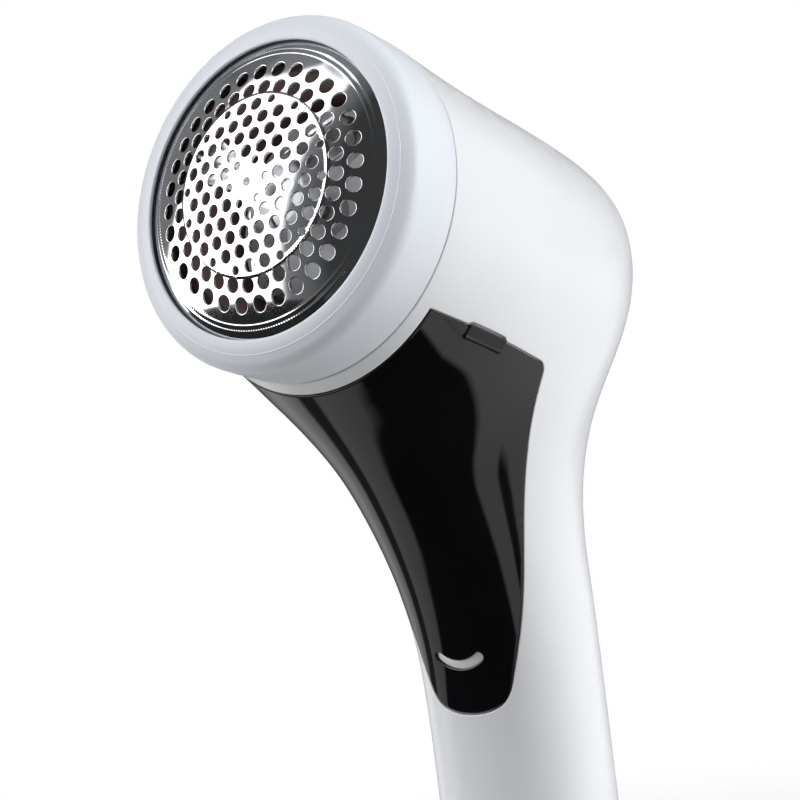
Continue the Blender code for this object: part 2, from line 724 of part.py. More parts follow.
def make_ring(palette, head):
    outline = [(MOUTH_RADIUS, RING_SEAT), (RING_RADIUS - 0.0001, RING_SIDE_TOP),
               (RING_RADIUS, RING_BULGE)]
    (radius, height), (across, along) = RING_ROUNDING
    outline += [(radius + across * math.cos(a), height + along * math.sin(a))
                for a in (math.radians(20 * k) for k in range(1, 5))]
    outline += [*RING_FACE, (LIP_RADIUS + LIP_EDGE[0], LIP_EDGE[1]),
                (LIP_RADIUS, LIP_UNDER), (RING_BORE, LIP_UNDER), (RING_BORE, RING_SEAT)]
    ring = object_from(turned_mesh(outline), "retaining_ring", palette["ring"], head)
    lugs = []
    for angle in LUG_ANGLES:
        lugs.append(spun_box(LUG_BLOCK, angle))
    combine(ring, cutter_from(join_meshes(lugs), "ring_lugs", head), 'UNION')
    return ring


def spun_box(block, degrees):
    """A box turned about the head's axis."""
    bm = box_mesh(*block)
    bmesh.ops.rotate(bm, cent=(0, 0, 0), verts=bm.verts,
                     matrix=Matrix.Rotation(math.radians(degrees), 3, 'Z'))
    return bm


def sector_mesh(inner, outer, low, high, start, end, steps=5):
    """A block of a ring between two angles, in degrees."""
    outline = arc((0.0, 0.0), outer, start, end, steps) + arc((0.0, 0.0), inner, end, start, steps)
    return prism_mesh(outline, low, high, lambda x, y, z: Vector((x, y, z)))


def make_collar(palette, head):
    outline = [(COLLAR_BORE, COLLAR_BASE), (COLLAR_RADIUS, COLLAR_BASE),
               (COLLAR_RADIUS, COLLAR_TOP), (COLLAR_BORE, COLLAR_TOP)]
    collar = object_from(turned_mesh(outline), "head_collar", palette["brown"], head)
    spread = LUG_WIDTH / 2 + NOTCH_PLAY
    notches = [sector_mesh(*NOTCH_RADII, *NOTCH_HEIGHTS, a - spread, a + spread + RING_TWIST)
               for a in LUG_ANGLES]
    combine(collar, cutter_from(join_meshes(notches), "lug_notches", head))
    pin_room = bar_mesh((PIN_PLACE, 0.0, PIN_ROOM[0]), PIN_RADIUS + GAP, PIN_ROOM[1], UP, 16)
    combine(collar, cutter_from(pin_room, "pin_room", head))
    return collar


def make_chamber(palette, head):
    under = CUP_FLOOR - CUP_THICKNESS
    outline = [(CUP_EYE, under), (CUP_RADIUS, under), (CUP_RADIUS, CUP_RIM),
               (CUP_BORE, CUP_RIM), (CUP_BORE, CUP_FLOOR), (CUP_EYE, CUP_FLOOR)]
    cup = object_from(turned_mesh(outline), "cutting_chamber", palette["brown"], head)
    combine(cup, cutter_from(box_mesh(*LINT_OUTLET), "lint_outlet", head))
    holes = bracket_holes(-0.0190, 0.0021)
    combine(cup, cutter_from(join_meshes(holes), "chamber_screw_holes", head))
    return cup


def bracket_holes(low, length):
    return [bar_mesh((side * BRACKET_SCREW_SPREAD, 0.0, low), BRACKET_HOLE, length, UP)
            for side in (-1, 1)]


def blade_mesh(angle):
    """A thin radial blade whose edge follows the inside of the foil."""
    step = (BLADE_REACH - BLADE_ROOT) / BLADE_STATIONS
    stations = [BLADE_ROOT + step * i for i in range(BLADE_STATIONS + 1)]
    outline = [(BLADE_ROOT, BLADE_FOOT), (BLADE_REACH, BLADE_FOOT)]
    under = FOIL_THICKNESS + GAP + BLADE_PLAY
    outline += [(r, foil_height(r) - under) for r in reversed(stations)]
    half = BLADE_THICKNESS / 2
    bm = prism_mesh(outline, -half, half, lambda r, z, y: Vector((r, y, z)))
    bmesh.ops.rotate(bm, cent=(0, 0, 0), verts=bm.verts,
                     matrix=Matrix.Rotation(angle, 3, 'Z'))
    return bm


def make_rotor(palette, head):
    angles = [BLADE_START + 360 * i / BLADES for i in range(BLADES)]
    low, high = HUB_OUTLINE[0][1], HUB_OUTLINE[-1][1]
    outline = [(BORE_RADIUS, low), *HUB_OUTLINE, (BORE_RADIUS, high)]
    hub = object_from(turned_mesh(outline, 32), "blade_carrier", palette["grey"], head)
    arms = join_meshes([spun_box(ARM_BLOCK, angle) for angle in angles])
    slots = join_meshes([spun_box(BLADE_SLOT, angle) for angle in angles])
    combine(hub, cutter_from(arms, "carrier_arms", head), 'UNION')
    combine(hub, cutter_from(slots, "blade_slots", head))
    for i, angle in enumerate(angles, 1):
        object_from(blade_mesh(math.radians(angle)), f"blade_{i}", palette["steel"], head)
    return hub


def make_fan(palette, head):
    (low, high), (under, over) = FAN_SPAN, FAN_PLATE
    outline = [(BORE_RADIUS, low), (FAN_HUB, low), (FAN_HUB, under), (FAN_RADIUS, under),
               (FAN_RADIUS, over), (FAN_HUB, over), (FAN_HUB, high), (BORE_RADIUS, high)]
    fan = object_from(turned_mesh(outline, 40), "lint_fan", palette["grey"], head)
    vanes = [spun_box(VANE_BLOCK, 360 * i / FAN_VANES) for i in range(FAN_VANES)]
    combine(fan, cutter_from(join_meshes(vanes), "fan_vanes", head), 'UNION')
    return fan


def coil_mesh(radius, wire, low, high, turns, centre=(0.0, 0.0), sides=6, steps=14):
    """A round-wire compression spring about a vertical axis."""
    bm = bmesh.new()
    count = int(turns * steps)
    rows = []
    for i in range(count + 1):
        angle = 2 * math.pi * i / steps
        height = low + wire + (high - low - 2 * wire) * i / count
        out = Vector((math.cos(angle), math.sin(angle), 0.0))
        middle = out * radius + Vector((centre[0], centre[1], height))
        row = []
        for k in range(sides):
            turn = 2 * math.pi * k / sides
            row.append(bm.verts.new(middle + out * wire * math.cos(turn)
                                    + UP * wire * math.sin(turn)))
        rows.append(row)
    bm.faces.new(rows[0])
    bm.faces.new(list(reversed(rows[-1])))
    for a, b in zip(rows, rows[1:]):
        for k in range(sides):
            m = (k + 1) % sides
            bm.faces.new((a[k], b[k], b[m], a[m]))
    return bm


def make_drive(palette, head):
    tail, tip = SHAFT_SPAN
    shaft = [(0.0, tail), (SHAFT_RADIUS, tail), (SHAFT_RADIUS, tip), (0.0, tip)]
    object_from(turned_mesh(shaft, 16), "drive_shaft", palette["steel"], head)
    object_from(coil_mesh(*CARRIER_SPRING), "carrier_spring", palette["steel"], head)


# ---------------------------------------------------------------- motor
def make_motor(palette, head):
    boss, length = CAN_BOSS
    can = [(BORE_RADIUS, MOTOR_BACK), (MOTOR_RADIUS - CAN_TAIL_EDGE, MOTOR_BACK),
           (MOTOR_RADIUS, MOTOR_BACK + CAN_TAIL_EDGE), (MOTOR_RADIUS, MOTOR_FRONT - CAN_NOSE_EDGE),
           (MOTOR_RADIUS - CAN_NOSE_EDGE, MOTOR_FRONT), (boss, MOTOR_FRONT),
           (boss, MOTOR_FRONT + length), (BORE_RADIUS, MOTOR_FRONT + length)]
    object_from(turned_mesh(can, 40), "motor_can", palette["motor"], head)
    radius, length, edge = END_CAP
    low, high = MOTOR_BACK - length, MOTOR_BACK - GAP
    end = [(BORE_RADIUS, low), (radius - edge, low), (radius, low + edge), (radius, high),
           (BORE_RADIUS, high)]
    object_from(turned_mesh(end, 32), "motor_end_cap", palette["dark"], head)
    make_terminals(palette, head, low)
    make_bracket(palette, head)


def make_terminals(palette, head, low):
    """Two solder tabs below the end cap."""
    half, thin = TERMINAL_HALF
    eye, away = TERMINAL_EYE
    for name, side in (("motor_terminal_left", -1), ("motor_terminal_right", 1)):
        x = side * TERMINAL_SPREAD
        tab = box_mesh((x - half, -thin, low - TERMINAL_LENGTH), (x + half, thin, low - GAP))
        hole = bar_mesh((x, -4 * thin, low - away), eye, 8 * thin, BACKWARD, 8)
        made = object_from(tab, name, palette["brass"], head)
        combine(made, cutter_from(hole, name + "_eye", head))


def make_bracket(palette, head):
    """Flange screwed to the chamber, with a sleeve round the motor."""
    sleeve, tail = BRACKET_SLEEVE
    flange, low, high = BRACKET_FLANGE
    eye, seat = BRACKET_EYE
    bore = MOTOR_RADIUS + GAP
    outline = [(bore, tail), (sleeve, tail), (sleeve, low), (flange, low), (flange, high),
               (eye, high), (eye, seat), (bore, seat)]
    plate = object_from(turned_mesh(outline, 38), "motor_bracket", palette["dark"], head)
    flats = [box_mesh((-BEYOND, min(side * BRACKET_FLAT, side * BEYOND), low - GAP),
                      (BEYOND, max(side * BRACKET_FLAT, side * BEYOND), high + GAP))
             for side in (-1, 1)]
    combine(plate, cutter_from(join_meshes(bracket_holes(-0.0210, 0.005) + flats),
                               "bracket_cuts", head))
    shank, reach, head_radius = BRACKET_SCREW
    for name, side in (("bracket_screw_left", -1), ("bracket_screw_right", 1)):
        tip = (side * BRACKET_SCREW_SPREAD, 0.0, BRACKET_SCREW_TIP)
        make_screw(name, palette, head, tip, -UP, shank, reach, head_radius)


def make_screw(name, palette, parent, tip, axis, radius, reach, head_radius):
    """A pan-head screw whose shank starts at tip and whose head ends the reach along axis."""
    rim, full, top_share = SCREW_HEAD
    outline = [(0.0, 0.0), (radius, 0.0), (radius, reach), (head_radius, reach),
               (head_radius, reach + rim), (head_radius * top_share, reach + full),
               (0.0, reach + full)]
    bm = turned_mesh(outline, 16)
    turn = Vector(axis).to_track_quat('Z', 'Y').to_matrix().to_4x4()
    bmesh.ops.transform(bm, matrix=Matrix.Translation(Vector(tip)) @ turn, verts=bm.verts)
    screw = object_from(bm, name, palette["zinc"], parent)
    share, half, low, high = RECESS
    arm = head_radius * share
    quarter = ((half, arm), (half, half), (arm, half), (arm, -half), (half, -half), (half, -arm))
    outline = [*quarter, *((-u, -v) for u, v in quarter)]
    cross = prism_mesh(outline, reach + low, reach + high, lambda u, v, z: Vector((u, v, z)))
    bmesh.ops.transform(cross, matrix=Matrix.Translation(Vector(tip)) @ turn, verts=cross.verts)
    combine(screw, cutter_from(cross, name + "_recess", parent))
    return screw


# ---------------------------------------------------------------- interlock, switch and cells
def make_interlock(palette, head):
    (foot, top), (tip_radius, tip_length) = PIN_SPAN, PIN_TIP
    pin = [(0.0, foot), (PIN_RADIUS, foot), (PIN_RADIUS, top - tip_length), (tip_radius, top),
           (0.0, top)]
    bm = turned_mesh(pin, 16)
    bmesh.ops.translate(bm, vec=(PIN_PLACE, 0.0, 0.0), verts=bm.verts)
    object_from(bm, "interlock_pin", palette["grey"], head)
    object_from(box_mesh(*INTERLOCK_BLOCK), "interlock_switch", palette["dark"], head)


def make_switch(palette):
    frame = bpy.data.objects.new("switch_frame", None)
    bpy.context.collection.objects.link(frame)
    frame.matrix_world = switch_frame()
    half_width, half_length, corner = KNOB_PAD
    outline = rounded_outline(half_width, -half_length, half_length, corner, 3)
    pad = prism_mesh(outline, *KNOB_DEPTH, lambda x, z, y: Vector((x, y, z)))
    knob = object_from(pad, "switch_knob", palette["grey"], frame)
    half, foot, top, thin = RIDGE
    ridges = [box_mesh((-half, foot, RIDGE_PITCH * i - thin), (half, top, RIDGE_PITCH * i + thin))
              for i in (-2, -1, 0, 1, 2)]
    combine(knob, cutter_from(join_meshes(ridges), "knob_ridges", frame), 'UNION')
    combine(knob, cutter_from(box_mesh(*KNOB_STEM), "knob_stem", frame), 'UNION')
    object_from(box_mesh(*SWITCH_BODY), "switch_body", palette["dark"], frame)


def make_cells(palette, frame):
    top, (nub, rise) = CELL_LENGTH, CELL_NUB
    for name, side in (("battery_left", -1), ("battery_right", 1)):
        crown = [(0.0, 0.0), (CELL_RADIUS - CELL_EDGE, 0.0), (CELL_RADIUS, CELL_EDGE),
                 (CELL_RADIUS, top - rise - CELL_SHOULDER),
                 (CELL_RADIUS - CELL_SHOULDER, top - rise), (nub, top - rise), (nub, top),
                 (0.0, top)]
        if side < 0:
            crown = [(radius, top - height) for radius, height in reversed(crown)]
        bm = turned_mesh(crown, 28)
        bmesh.ops.translate(bm, vec=(side * CELL_SPREAD, 0.0, 0.0), verts=bm.verts)
        object_from(bm, name, palette["cell"], frame)


def make_tray(palette, frame):
    """Divider between the cells, with a ceiling that carries the upper contacts."""
    top = CELL_LENGTH
    half_width, half_depth, low, high = TRAY_CEILING
    ceiling = box_mesh((-half_width, -half_depth, top + low), (half_width, half_depth, top + high))
    tray = object_from(ceiling, "battery_tray", palette["dark"], frame)
    half, near, far, foot, head = TRAY_RIB
    rib = box_mesh((-half, near, foot), (half, far, top + head))
    combine(tray, cutter_from(rib, "tray_rib", frame), 'UNION')
    make_contacts(palette, frame, top)


def make_contacts(palette, frame, top):
    across, deep = CONTACT_HALF
    low = top + GAP
    plate = box_mesh((CELL_SPREAD - across, -deep, low),
                     (CELL_SPREAD + across, deep, low + CONTACT_THICKNESS))
    object_from(plate, "contact_plate", palette["zinc"], frame)
    radius, wire, reach, turns = CONTACT_SPRING
    upper = coil_mesh(radius, wire, low, top + reach, turns, (-CELL_SPREAD, 0.0))
    object_from(upper, "contact_spring", palette["zinc"], frame)
    near, far = BRIDGE
    foot = CAP_HEIGHT + GAP
    strip = box_mesh((*near, foot), (*far, foot + CONTACT_THICKNESS))
    object_from(strip, "contact_bridge", palette["zinc"])


def make_rear_screws(palette):
    shank, reach, head_radius = COVER_SCREW
    for name, tip in zip(("cover_screw_left", "cover_screw_right", "cover_screw_lower"),
                         SCREW_TIPS):
        make_screw(name, palette, None, tip, BACKWARD, shank, reach, head_radius)


def build():
    clear_scene()
    palette = make_palette()
    head = bpy.data.objects.new("head_frame", None)
    bpy.context.collection.objects.link(head)
    head.matrix_world = HEAD_MATRIX
    hollow = cavity()
    throat = cutter_from(bar_mesh(HEAD_CENTRE + HEAD_AXIS * THROAT_FLOOR, CUP_RADIUS + GAP,
                                  THROAT_LENGTH, HEAD_AXIS, 48), "throat")
    make_housing(palette, hollow, throat)
    make_rear_cover(palette, hollow)
    make_battery_cap(palette)
    make_container(palette, throat)
    make_ring(palette, head)
    make_foil(palette, head)
    make_collar(palette, head)
    make_chamber(palette, head)
    make_rotor(palette, head)
    make_fan(palette, head)
    make_drive(palette, head)
    make_motor(palette, head)
    make_interlock(palette, head)
    make_switch(palette)
    cells = bpy.data.objects.new("cell_frame", None)
    bpy.context.collection.objects.link(cells)
    cells.matrix_world = Matrix.Translation(CELL_FOOT) @ Matrix.Rotation(CELL_LEAN, 4, 'X')
    make_cells(palette, cells)
    make_tray(palette, cells)
    make_rear_screws(palette)
    bpy.context.view_layer.update()


build()
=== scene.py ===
"""Looks for the cordless fabric shaver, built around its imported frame."""
import json
import math

import bmesh
import bpy
import numpy as np
from mathutils import Matrix, Vector
from mathutils.geometry import delaunay_2d_cdt


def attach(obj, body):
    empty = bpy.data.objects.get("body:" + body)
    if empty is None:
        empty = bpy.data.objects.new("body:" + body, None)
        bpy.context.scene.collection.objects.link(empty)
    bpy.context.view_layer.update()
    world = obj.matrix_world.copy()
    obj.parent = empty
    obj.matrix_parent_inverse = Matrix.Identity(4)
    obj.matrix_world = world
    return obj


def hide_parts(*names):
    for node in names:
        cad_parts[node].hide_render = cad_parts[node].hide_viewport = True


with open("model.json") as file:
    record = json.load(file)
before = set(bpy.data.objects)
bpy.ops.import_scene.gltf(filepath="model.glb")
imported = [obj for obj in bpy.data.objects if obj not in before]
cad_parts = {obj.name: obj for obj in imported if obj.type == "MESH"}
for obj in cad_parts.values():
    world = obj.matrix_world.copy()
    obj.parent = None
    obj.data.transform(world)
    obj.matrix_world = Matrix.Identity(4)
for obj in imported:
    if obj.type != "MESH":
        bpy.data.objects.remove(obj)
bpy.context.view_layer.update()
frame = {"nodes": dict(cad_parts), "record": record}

# ---- dimensions (metres)
GAP = 0.0003
HEAD_CENTRE = np.array([0.0, -0.0455, 0.148])
HEAD_TILT = math.radians(18.0)
HEAD_AXIS = np.array([0.0, -math.cos(HEAD_TILT), math.sin(HEAD_TILT)])
HEAD_UP = np.array([0.0, math.sin(HEAD_TILT), math.cos(HEAD_TILT)])
HEAD_MATRIX = Matrix.Translation(HEAD_CENTRE) @ Matrix.Rotation(math.pi / 2 - HEAD_TILT, 4, 'X')
MOUTH_RADIUS = 0.0308
SHOULDER = np.array([0.0779, -0.0098])  # side view (y, z) from the head's centre
WAIST = np.array([0.0556, -0.0630])
HEEL = np.array([0.0595, -0.148])
ELBOW = np.array([0.0275, -0.0867])
TOE = np.array([0.0314, -0.148])
HANDLE_HALF_WIDTH = 0.0170
NARROWING = (0.14, 0.64)  # shares of the way where the width starts and stops
FRONT_LAG = 1.4
SQUARENESS = 0.2
SQUARING = (0.2, 0.3)  # where the section turns squarer, and over how far
PAST_SEAM, PAST_FOOT = 0.17, 0.15  # how fast the surface runs on beyond its ends
SEAM_INSET = 0.00015
WALL = 0.0018
NECK_BAND = 0.0035
CONTAINER_TOP = ((-0.0030, -0.0190), (0.0262, -0.0310))
CONTAINER_FOOT = ((0.0296, -0.0909), (0.0285, -0.0934))
CONTAINER_CORNER, FOOT_CORNER = 0.0014, 0.0012
BACK_SPAN = (-0.0314, -0.0890)  # heights where the back edge starts and ends
BACK_KNOTS = (((0.0273, -0.0300), (0.0262, -0.0350), (0.0259, -0.0410), (0.0264, -0.0460)),
              ((0.0264, -0.0460), (0.0270, -0.0560), (0.0293, -0.0650), (0.0296, -0.0760)),
              ((0.0296, -0.0760), (0.0298, -0.0810), (0.0296, -0.0900), (0.0296, -0.1000)))
CONTAINER_WALL, BAY_WALL, BAY_CORNER = 0.0016, 0.0014, 0.0018
INNER_FORM = 0.0009  # depth below the surface where inner walls stop
BEYOND = 0.036  # half width of what is drawn out past the body
PAST_NECK, PAST_HEEL = 0.030, 0.008  # how far the container's outline runs on
THROAT_RADIUS, THROAT_SPAN = 0.0227, (-0.0178, 0.0122)
CATCH_CENTRE, CATCH_LEAN = np.array([0.0101, -0.0252]), 0.055
CATCH_HALF = (0.0047, 0.0012, 0.0004)  # half length, half height, corner
CATCH_BEVEL = 0.00012
CATCH_PROFILE = ((-0.00125, 0.0240), (-0.00122, 0.02572), (-0.00102, 0.02590),
                 (-0.00070, 0.02580), (0.00095, 0.02684), (0.00115, 0.02672), (0.00115, 0.0240))
CATCH_SIDE = 0.018  # they lie beyond this on either side
SLOT = (0.0072, math.radians(38), 0.00080)  # radius, half angle, half thickness
SLOT_FOOT = 0.0638
SLOT_DEPTHS = (-0.0350, -0.0150)
INSERT_LAP, INSERT_SINK, INSERT_WALL = 0.0003, 0.0005, 0.0006
COVER_HALF, COVER_CORNER = (0.0110, 0.06325), 0.0045
COVER_MIDDLE, COVER_FRONT = 0.07075, 0.0035
CAP_HEIGHT, CAP_LIFT = 0.0042, 0.0002
CAP_FLOOR_ROWS = ((0.0012, 0.0030), (0.0012, 0.0004), (0.0014, 0.00015), (0.0032, 0.0001),
                  (0.0036, 0.0005), (0.0060, 0.0005))  # inset from the foot's edge, height
SWITCH_PLACE = np.array([0.0, 0.010445, 0.077545])
SWITCH_WAY = np.array([0.0, -0.040103, 0.999196])
SWITCH_SLOT = (0.002, 0.0021, 0.0050, 0.0008)  # middle of the travel, half sizes, corner
SCREW_PLACES = ((0.0065, 0.1265), (0.0, 0.0650))
SCREW_HOLE = 0.0025

FOIL_RIM, FOIL_EDGE = 0.0260, 0.0274
FOIL_BASE, FOIL_RISE = 0.0120, 0.0055
FOIL_THICKNESS = 0.00035
BEADS = ((0.01575, 0.00028, 0.00012), (0.0237, 0.00014, 0.000022),
         (0.0246, 0.00014, 0.000022))  # radius, width, height
HOLE_PITCH = 0.00325
HOLE_TURN = math.radians(11.0)
HOLE, SMALL_HOLE = 0.00108, 0.00068
INNER_HOLES = 0.00395  # radius of the ring of small holes
FIELD = (3, 21)  # nearest and farthest holes of the hexagonal field
RIM_HOLES = 32
RIM_ROWS = ((0.0173, 0.00122, 1.3), (0.0205, 0.00130, 7.0))  # radius, hole, turn in degrees
HOLE_RINGS = ((0.00016, 0.0, 0.0), (0.00009, 0.00002, 30.0), (0.00004, 0.00006, 60.0),
              (0.0, 0.00014, 90.0))  # beyond the hole's edge, drop, turn of the normal
HOLE_MARGIN, SHEET_SPACING = 0.00030, 0.00055
SHEET_ROWS = np.r_[np.arange(0.0004, 0.0270, 0.00075), 0.01575 + np.arange(-4, 5) * 0.00017,
                   0.0234 + np.arange(23) * 0.00007, 0.0266, 0.0271]  # closer at the beads
LUG_ANGLES = (90.0, 210.0, 330.0)
LUG_BLOCK = ((0.0272, -0.0019, 0.0030), (0.0292, 0.0019, 0.0052))
RING_SIDE = ((0.03068, 0.00015), (0.03076, 0.00018), (0.03082, 0.00030), (0.03098, 0.0030),
             (0.03110, 0.0055), (0.03118, 0.0080))
RING_SHOULDER, RING_ROUND = (0.0285, 0.0094), 0.0027
RING_CROWN = ((0.029598, 0.011867), (0.0286, 0.012311), (0.0275, 0.01274), (0.02640, 0.01284))
RING_LIP, LIP_RADIUS = (0.02632, 0.01262), 0.00022
RING_INSIDE = ((0.02615, 0.01235), (0.0286, 0.01235), (0.0286, 0.00015))
WING_RADII, WING_HALF = (0.0046, 0.0170, 0.0182), (0.0022, 0.0040)
WING_HEIGHTS = (0.0097, 0.0101)
BLADE_TURNS = (35, 155, 275)

# what each skin is cut from: start, end and count along the body (t) and round it (a)
HOUSING_ROWS, CAP_ROWS, ALL_ROUND = (-0.012, 1.012, 236), (0.955, 1.02, 26), 168
CONTAINER_AREA = ((0.0, 0.78, 250), (math.pi - 1.9, math.pi + 1.9, 190))
COVER_AREA = ((0.22, 1.0, 230), (-1.1, 1.1, 110))
INSERT_AREA = ((0.5, 0.75, 220), (math.pi - 0.5, math.pi + 0.5, 120))
HALVINGS = 18
SNAP = 0.22  # a cut this near to a grid corner moves the corner
SHARP = 30.0  # degrees between faces that don't share a shade


# ---- the body's surface
def bezier(a, b, c, d, steps=500):
    """Points along a cubic curve with the ends a, d and the handles b, c."""
    u = np.linspace(0, 1, steps)[:, None]
    return (1 - u) ** 3 * a + 3 * (1 - u) ** 2 * u * b + 3 * (1 - u) * u * u * c + u ** 3 * d


def heading(degrees):
    """A unit step of the side view, turned up from +Y."""
    return np.array([math.cos(math.radians(degrees)), math.sin(math.radians(degrees))])


def edge_table(pieces):
    """Share of the length along joined curves, and the points there."""
    points = np.vstack([bezier(*p) for p in pieces])
    along = np.r_[0.0, np.cumsum(np.hypot(*np.diff(points, axis=0).T))]
    return along / along[-1], points


def side_edges():
    """The body's back and front edges in the side view, as curves with headed handles."""
    mouth = HEAD_UP[1:] * MOUTH_RADIUS
    down = np.array([0.0, -1.0])
    waist, heel, elbow, toe = heading(-86.9), heading(-83.5), heading(-78.5), heading(-80.5)
    back = ((mouth, mouth + heading(-27.0) * 0.0445, SHOULDER - down * 0.0168, SHOULDER),
            (SHOULDER, SHOULDER + down * 0.0141, WAIST - waist * 0.0369, WAIST),
            (WAIST, WAIST + waist * 0.0226, HEEL - heel * 0.0226, HEEL))
    front = ((-mouth, -mouth + heading(-40.7) * 0.0220, ELBOW - elbow * 0.0240, ELBOW),
             (ELBOW, ELBOW + elbow * 0.0174, TOE - toe * 0.0174, TOE))
    return edge_table(back), edge_table(front)


BACK, FRONT = side_edges()


def at_fraction(table, fraction):
    return np.stack([np.interp(fraction, table[0], table[1][:, k]) for k in (0, 1)], axis=-1)


def smooth_step(x):
    x = np.clip(x, 0.0, 1.0)
    return x * x * (3 - 2 * x)


def middle_of(t):
    t = np.clip(t, 0.0, 1.0)
    return (at_fraction(BACK, t) + at_fraction(FRONT, t ** FRONT_LAG)) / 2


def surface(t, a):
    """Points of the body: t runs from the head's seam to the foot, a goes round (0 is the back)."""
    inner = np.clip(t, 0.0, 1.0)
    back = at_fraction(BACK, inner)
    front = at_fraction(FRONT, inner ** FRONT_LAG)
    middle, reach = (back + front) / 2, (back - front) / 2
    width = MOUTH_RADIUS + (HANDLE_HALF_WIDTH - MOUTH_RADIUS) * smooth_step(
        (inner - NARROWING[0]) / (NARROWING[1] - NARROWING[0]))
    power = 2.0 / (2.0 + SQUARENESS * smooth_step((inner - SQUARING[0]) / SQUARING[1]))
    side, along = np.sin(a), np.cos(a)
    side = np.sign(side) * np.abs(side) ** power
    along = np.sign(along) * np.abs(along) ** power
    above, below = np.maximum(-t, 0.0) * PAST_SEAM, np.maximum(t - 1.0, 0.0) * PAST_FOOT
    y = HEAD_CENTRE[1] + middle[..., 0] + reach[..., 0] * along + above * HEAD_AXIS[1]
    z = HEAD_CENTRE[2] + middle[..., 1] + reach[..., 1] * along + above * HEAD_AXIS[2] - below
    return np.stack([width * side, y, z], axis=-1)


def unit(v):
    return v / np.maximum(np.linalg.norm(v, axis=-1, keepdims=True), 1e-12)


def surface_normals(t, a):
    h = 0.0015
    n = unit(np.cross(surface(t, a + h) - surface(t, a - h), surface(t + h, a) - surface(t - h, a)))
    middle = middle_of(t)
    out = surface(t, a)
    out[..., 1] -= HEAD_CENTRE[1] + middle[..., 0]
    out[..., 2] -= HEAD_CENTRE[2] + middle[..., 1]
    return n * np.sign(np.sum(n * out, axis=-1, keepdims=True))


# ---- where the casings part
def side_of(y, z, line):
    """Signed distance from a line of the side view."""
    (ya, za), (yb, zb) = line
    way = np.array([yb - ya, zb - za]) / math.hypot(yb - ya, zb - za)
    return -(y - ya) * way[1] + (z - za) * way[0]


def rounded_box(u, v, half_u, half_v, corner):
    """Signed distance from a box with rounded corners."""
    du, dv = np.abs(u) - half_u + corner, np.abs(v) - half_v + corner
    outside = np.hypot(np.maximum(du, 0), np.maximum(dv, 0))
    return outside + np.minimum(np.maximum(du, dv), 0) - corner


def lean_of(across_y, across_z, n):
    """How fast the distance across a line of the side view grows along the surface."""
    across = n[..., 1] * across_y + n[..., 2] * across_z
    return np.sqrt(np.maximum(1.0 - across ** 2, 0.01))


def along_surface(y, z, line, n):
    """Signed distance from a line of the side view, measured along the surface."""
    (ya, za), (yb, zb) = line
    length = math.hypot(yb - ya, zb - za)
    return side_of(y, z, line) / lean_of((za - zb) / length, (yb - ya) / length, n)


BACK_EDGE = np.vstack([bezier(*np.array(k)) for k in BACK_KNOTS])[::-1]


def back_at(z):
    """Where the container's back edge lies at a height."""
    return np.interp(z, BACK_EDGE[:, 1], BACK_EDGE[:, 0])


def round_max(one, two, corner):
    """The greater of two distances, with the corner between them rounded."""
    return (np.hypot(np.maximum(one + corner, 0), np.maximum(two + corner, 0)) - corner
            + np.minimum(np.maximum(one, two) + corner, 0))


def lint_zone(p, n):
    """Below zero inside the lint container's outline, measured along the surface."""
    y, z = p[..., 1] - HEAD_CENTRE[1], p[..., 2] - HEAD_CENTRE[2]
    neck = y * HEAD_AXIS[1] + z * HEAD_AXIS[2] + NECK_BAND
    slope = (back_at(z + 0.0005) - back_at(z - 0.0005)) / 0.001
    length = np.hypot(1.0, slope)
    back = (y - back_at(z)) / length / lean_of(1.0 / length, -slope / length, n)
    body = round_max(along_surface(y, z, CONTAINER_TOP, n), back, CONTAINER_CORNER)
    return np.maximum(neck, round_max(body, along_surface(y, z, CONTAINER_FOOT, n), FOOT_CORNER))


def catch_axes():
    way = np.subtract(CONTAINER_TOP[1], CONTAINER_TOP[0])
    way = way / np.linalg.norm(way)
    return way, np.array([-way[1], way[0]])


def catch_zone(p):
    way, up = catch_axes()
    y = p[..., 1] - HEAD_CENTRE[1] - CATCH_CENTRE[0]
    z = p[..., 2] - HEAD_CENTRE[2] - CATCH_CENTRE[1]
    box = rounded_box(y * way[0] + z * way[1], y * up[0] + z * up[1], *CATCH_HALF)
    return np.where(np.abs(p[..., 0]) > CATCH_SIDE, box, 1.0)


def cover_zone(p):
    box = rounded_box(p[..., 0], p[..., 2] - COVER_MIDDLE, *COVER_HALF, COVER_CORNER)
    return np.where(p[..., 1] > COVER_FRONT, box, 1.0)


def seam(p):
    return (p - HEAD_CENTRE) @ HEAD_AXIS + SEAM_INSET


def foot_slot(p):
    """The curved slot at the container's foot."""
    radius, spread, half_thick = SLOT
    x, z = p[..., 0], p[..., 2] - SLOT_FOOT - radius
    angle = np.clip(np.arctan2(x, -z), -spread, spread)
    slot = np.hypot(x - radius * np.sin(angle), z + radius * np.cos(angle)) - half_thick
    return np.where(p[..., 1] < 0.0, slot, 1.0)


def switch_slot(p):
    q = p - SWITCH_PLACE
    middle, *sizes = SWITCH_SLOT
    return rounded_box(q[..., 0], q @ SWITCH_WAY - middle, *sizes)


def screw_zone(p):
    x, z = np.abs(p[..., 0]), p[..., 2]
    upper, lower = (np.hypot(x - place, z - height) for place, height in SCREW_PLACES)
    return np.minimum(upper, lower) - SCREW_HOLE


def housing_keep(p, n):
    parts = (seam(p), GAP - lint_zone(p, n), GAP - catch_zone(p), GAP - cover_zone(p),
             CAP_HEIGHT + GAP - p[..., 2])
    return np.max(parts, axis=0)


def container_keep(p, n):
    return np.maximum(lint_zone(p, n), -foot_slot(p))


def insert_keep(p, n):
    return foot_slot(p) - INSERT_LAP


def cover_keep(p, n):
    return np.max((cover_zone(p), -switch_slot(p), -screw_zone(p)), axis=0)


def cap_keep(p, n):
    return np.maximum(p[..., 2] - CAP_HEIGHT, CAP_LIFT - p[..., 2])


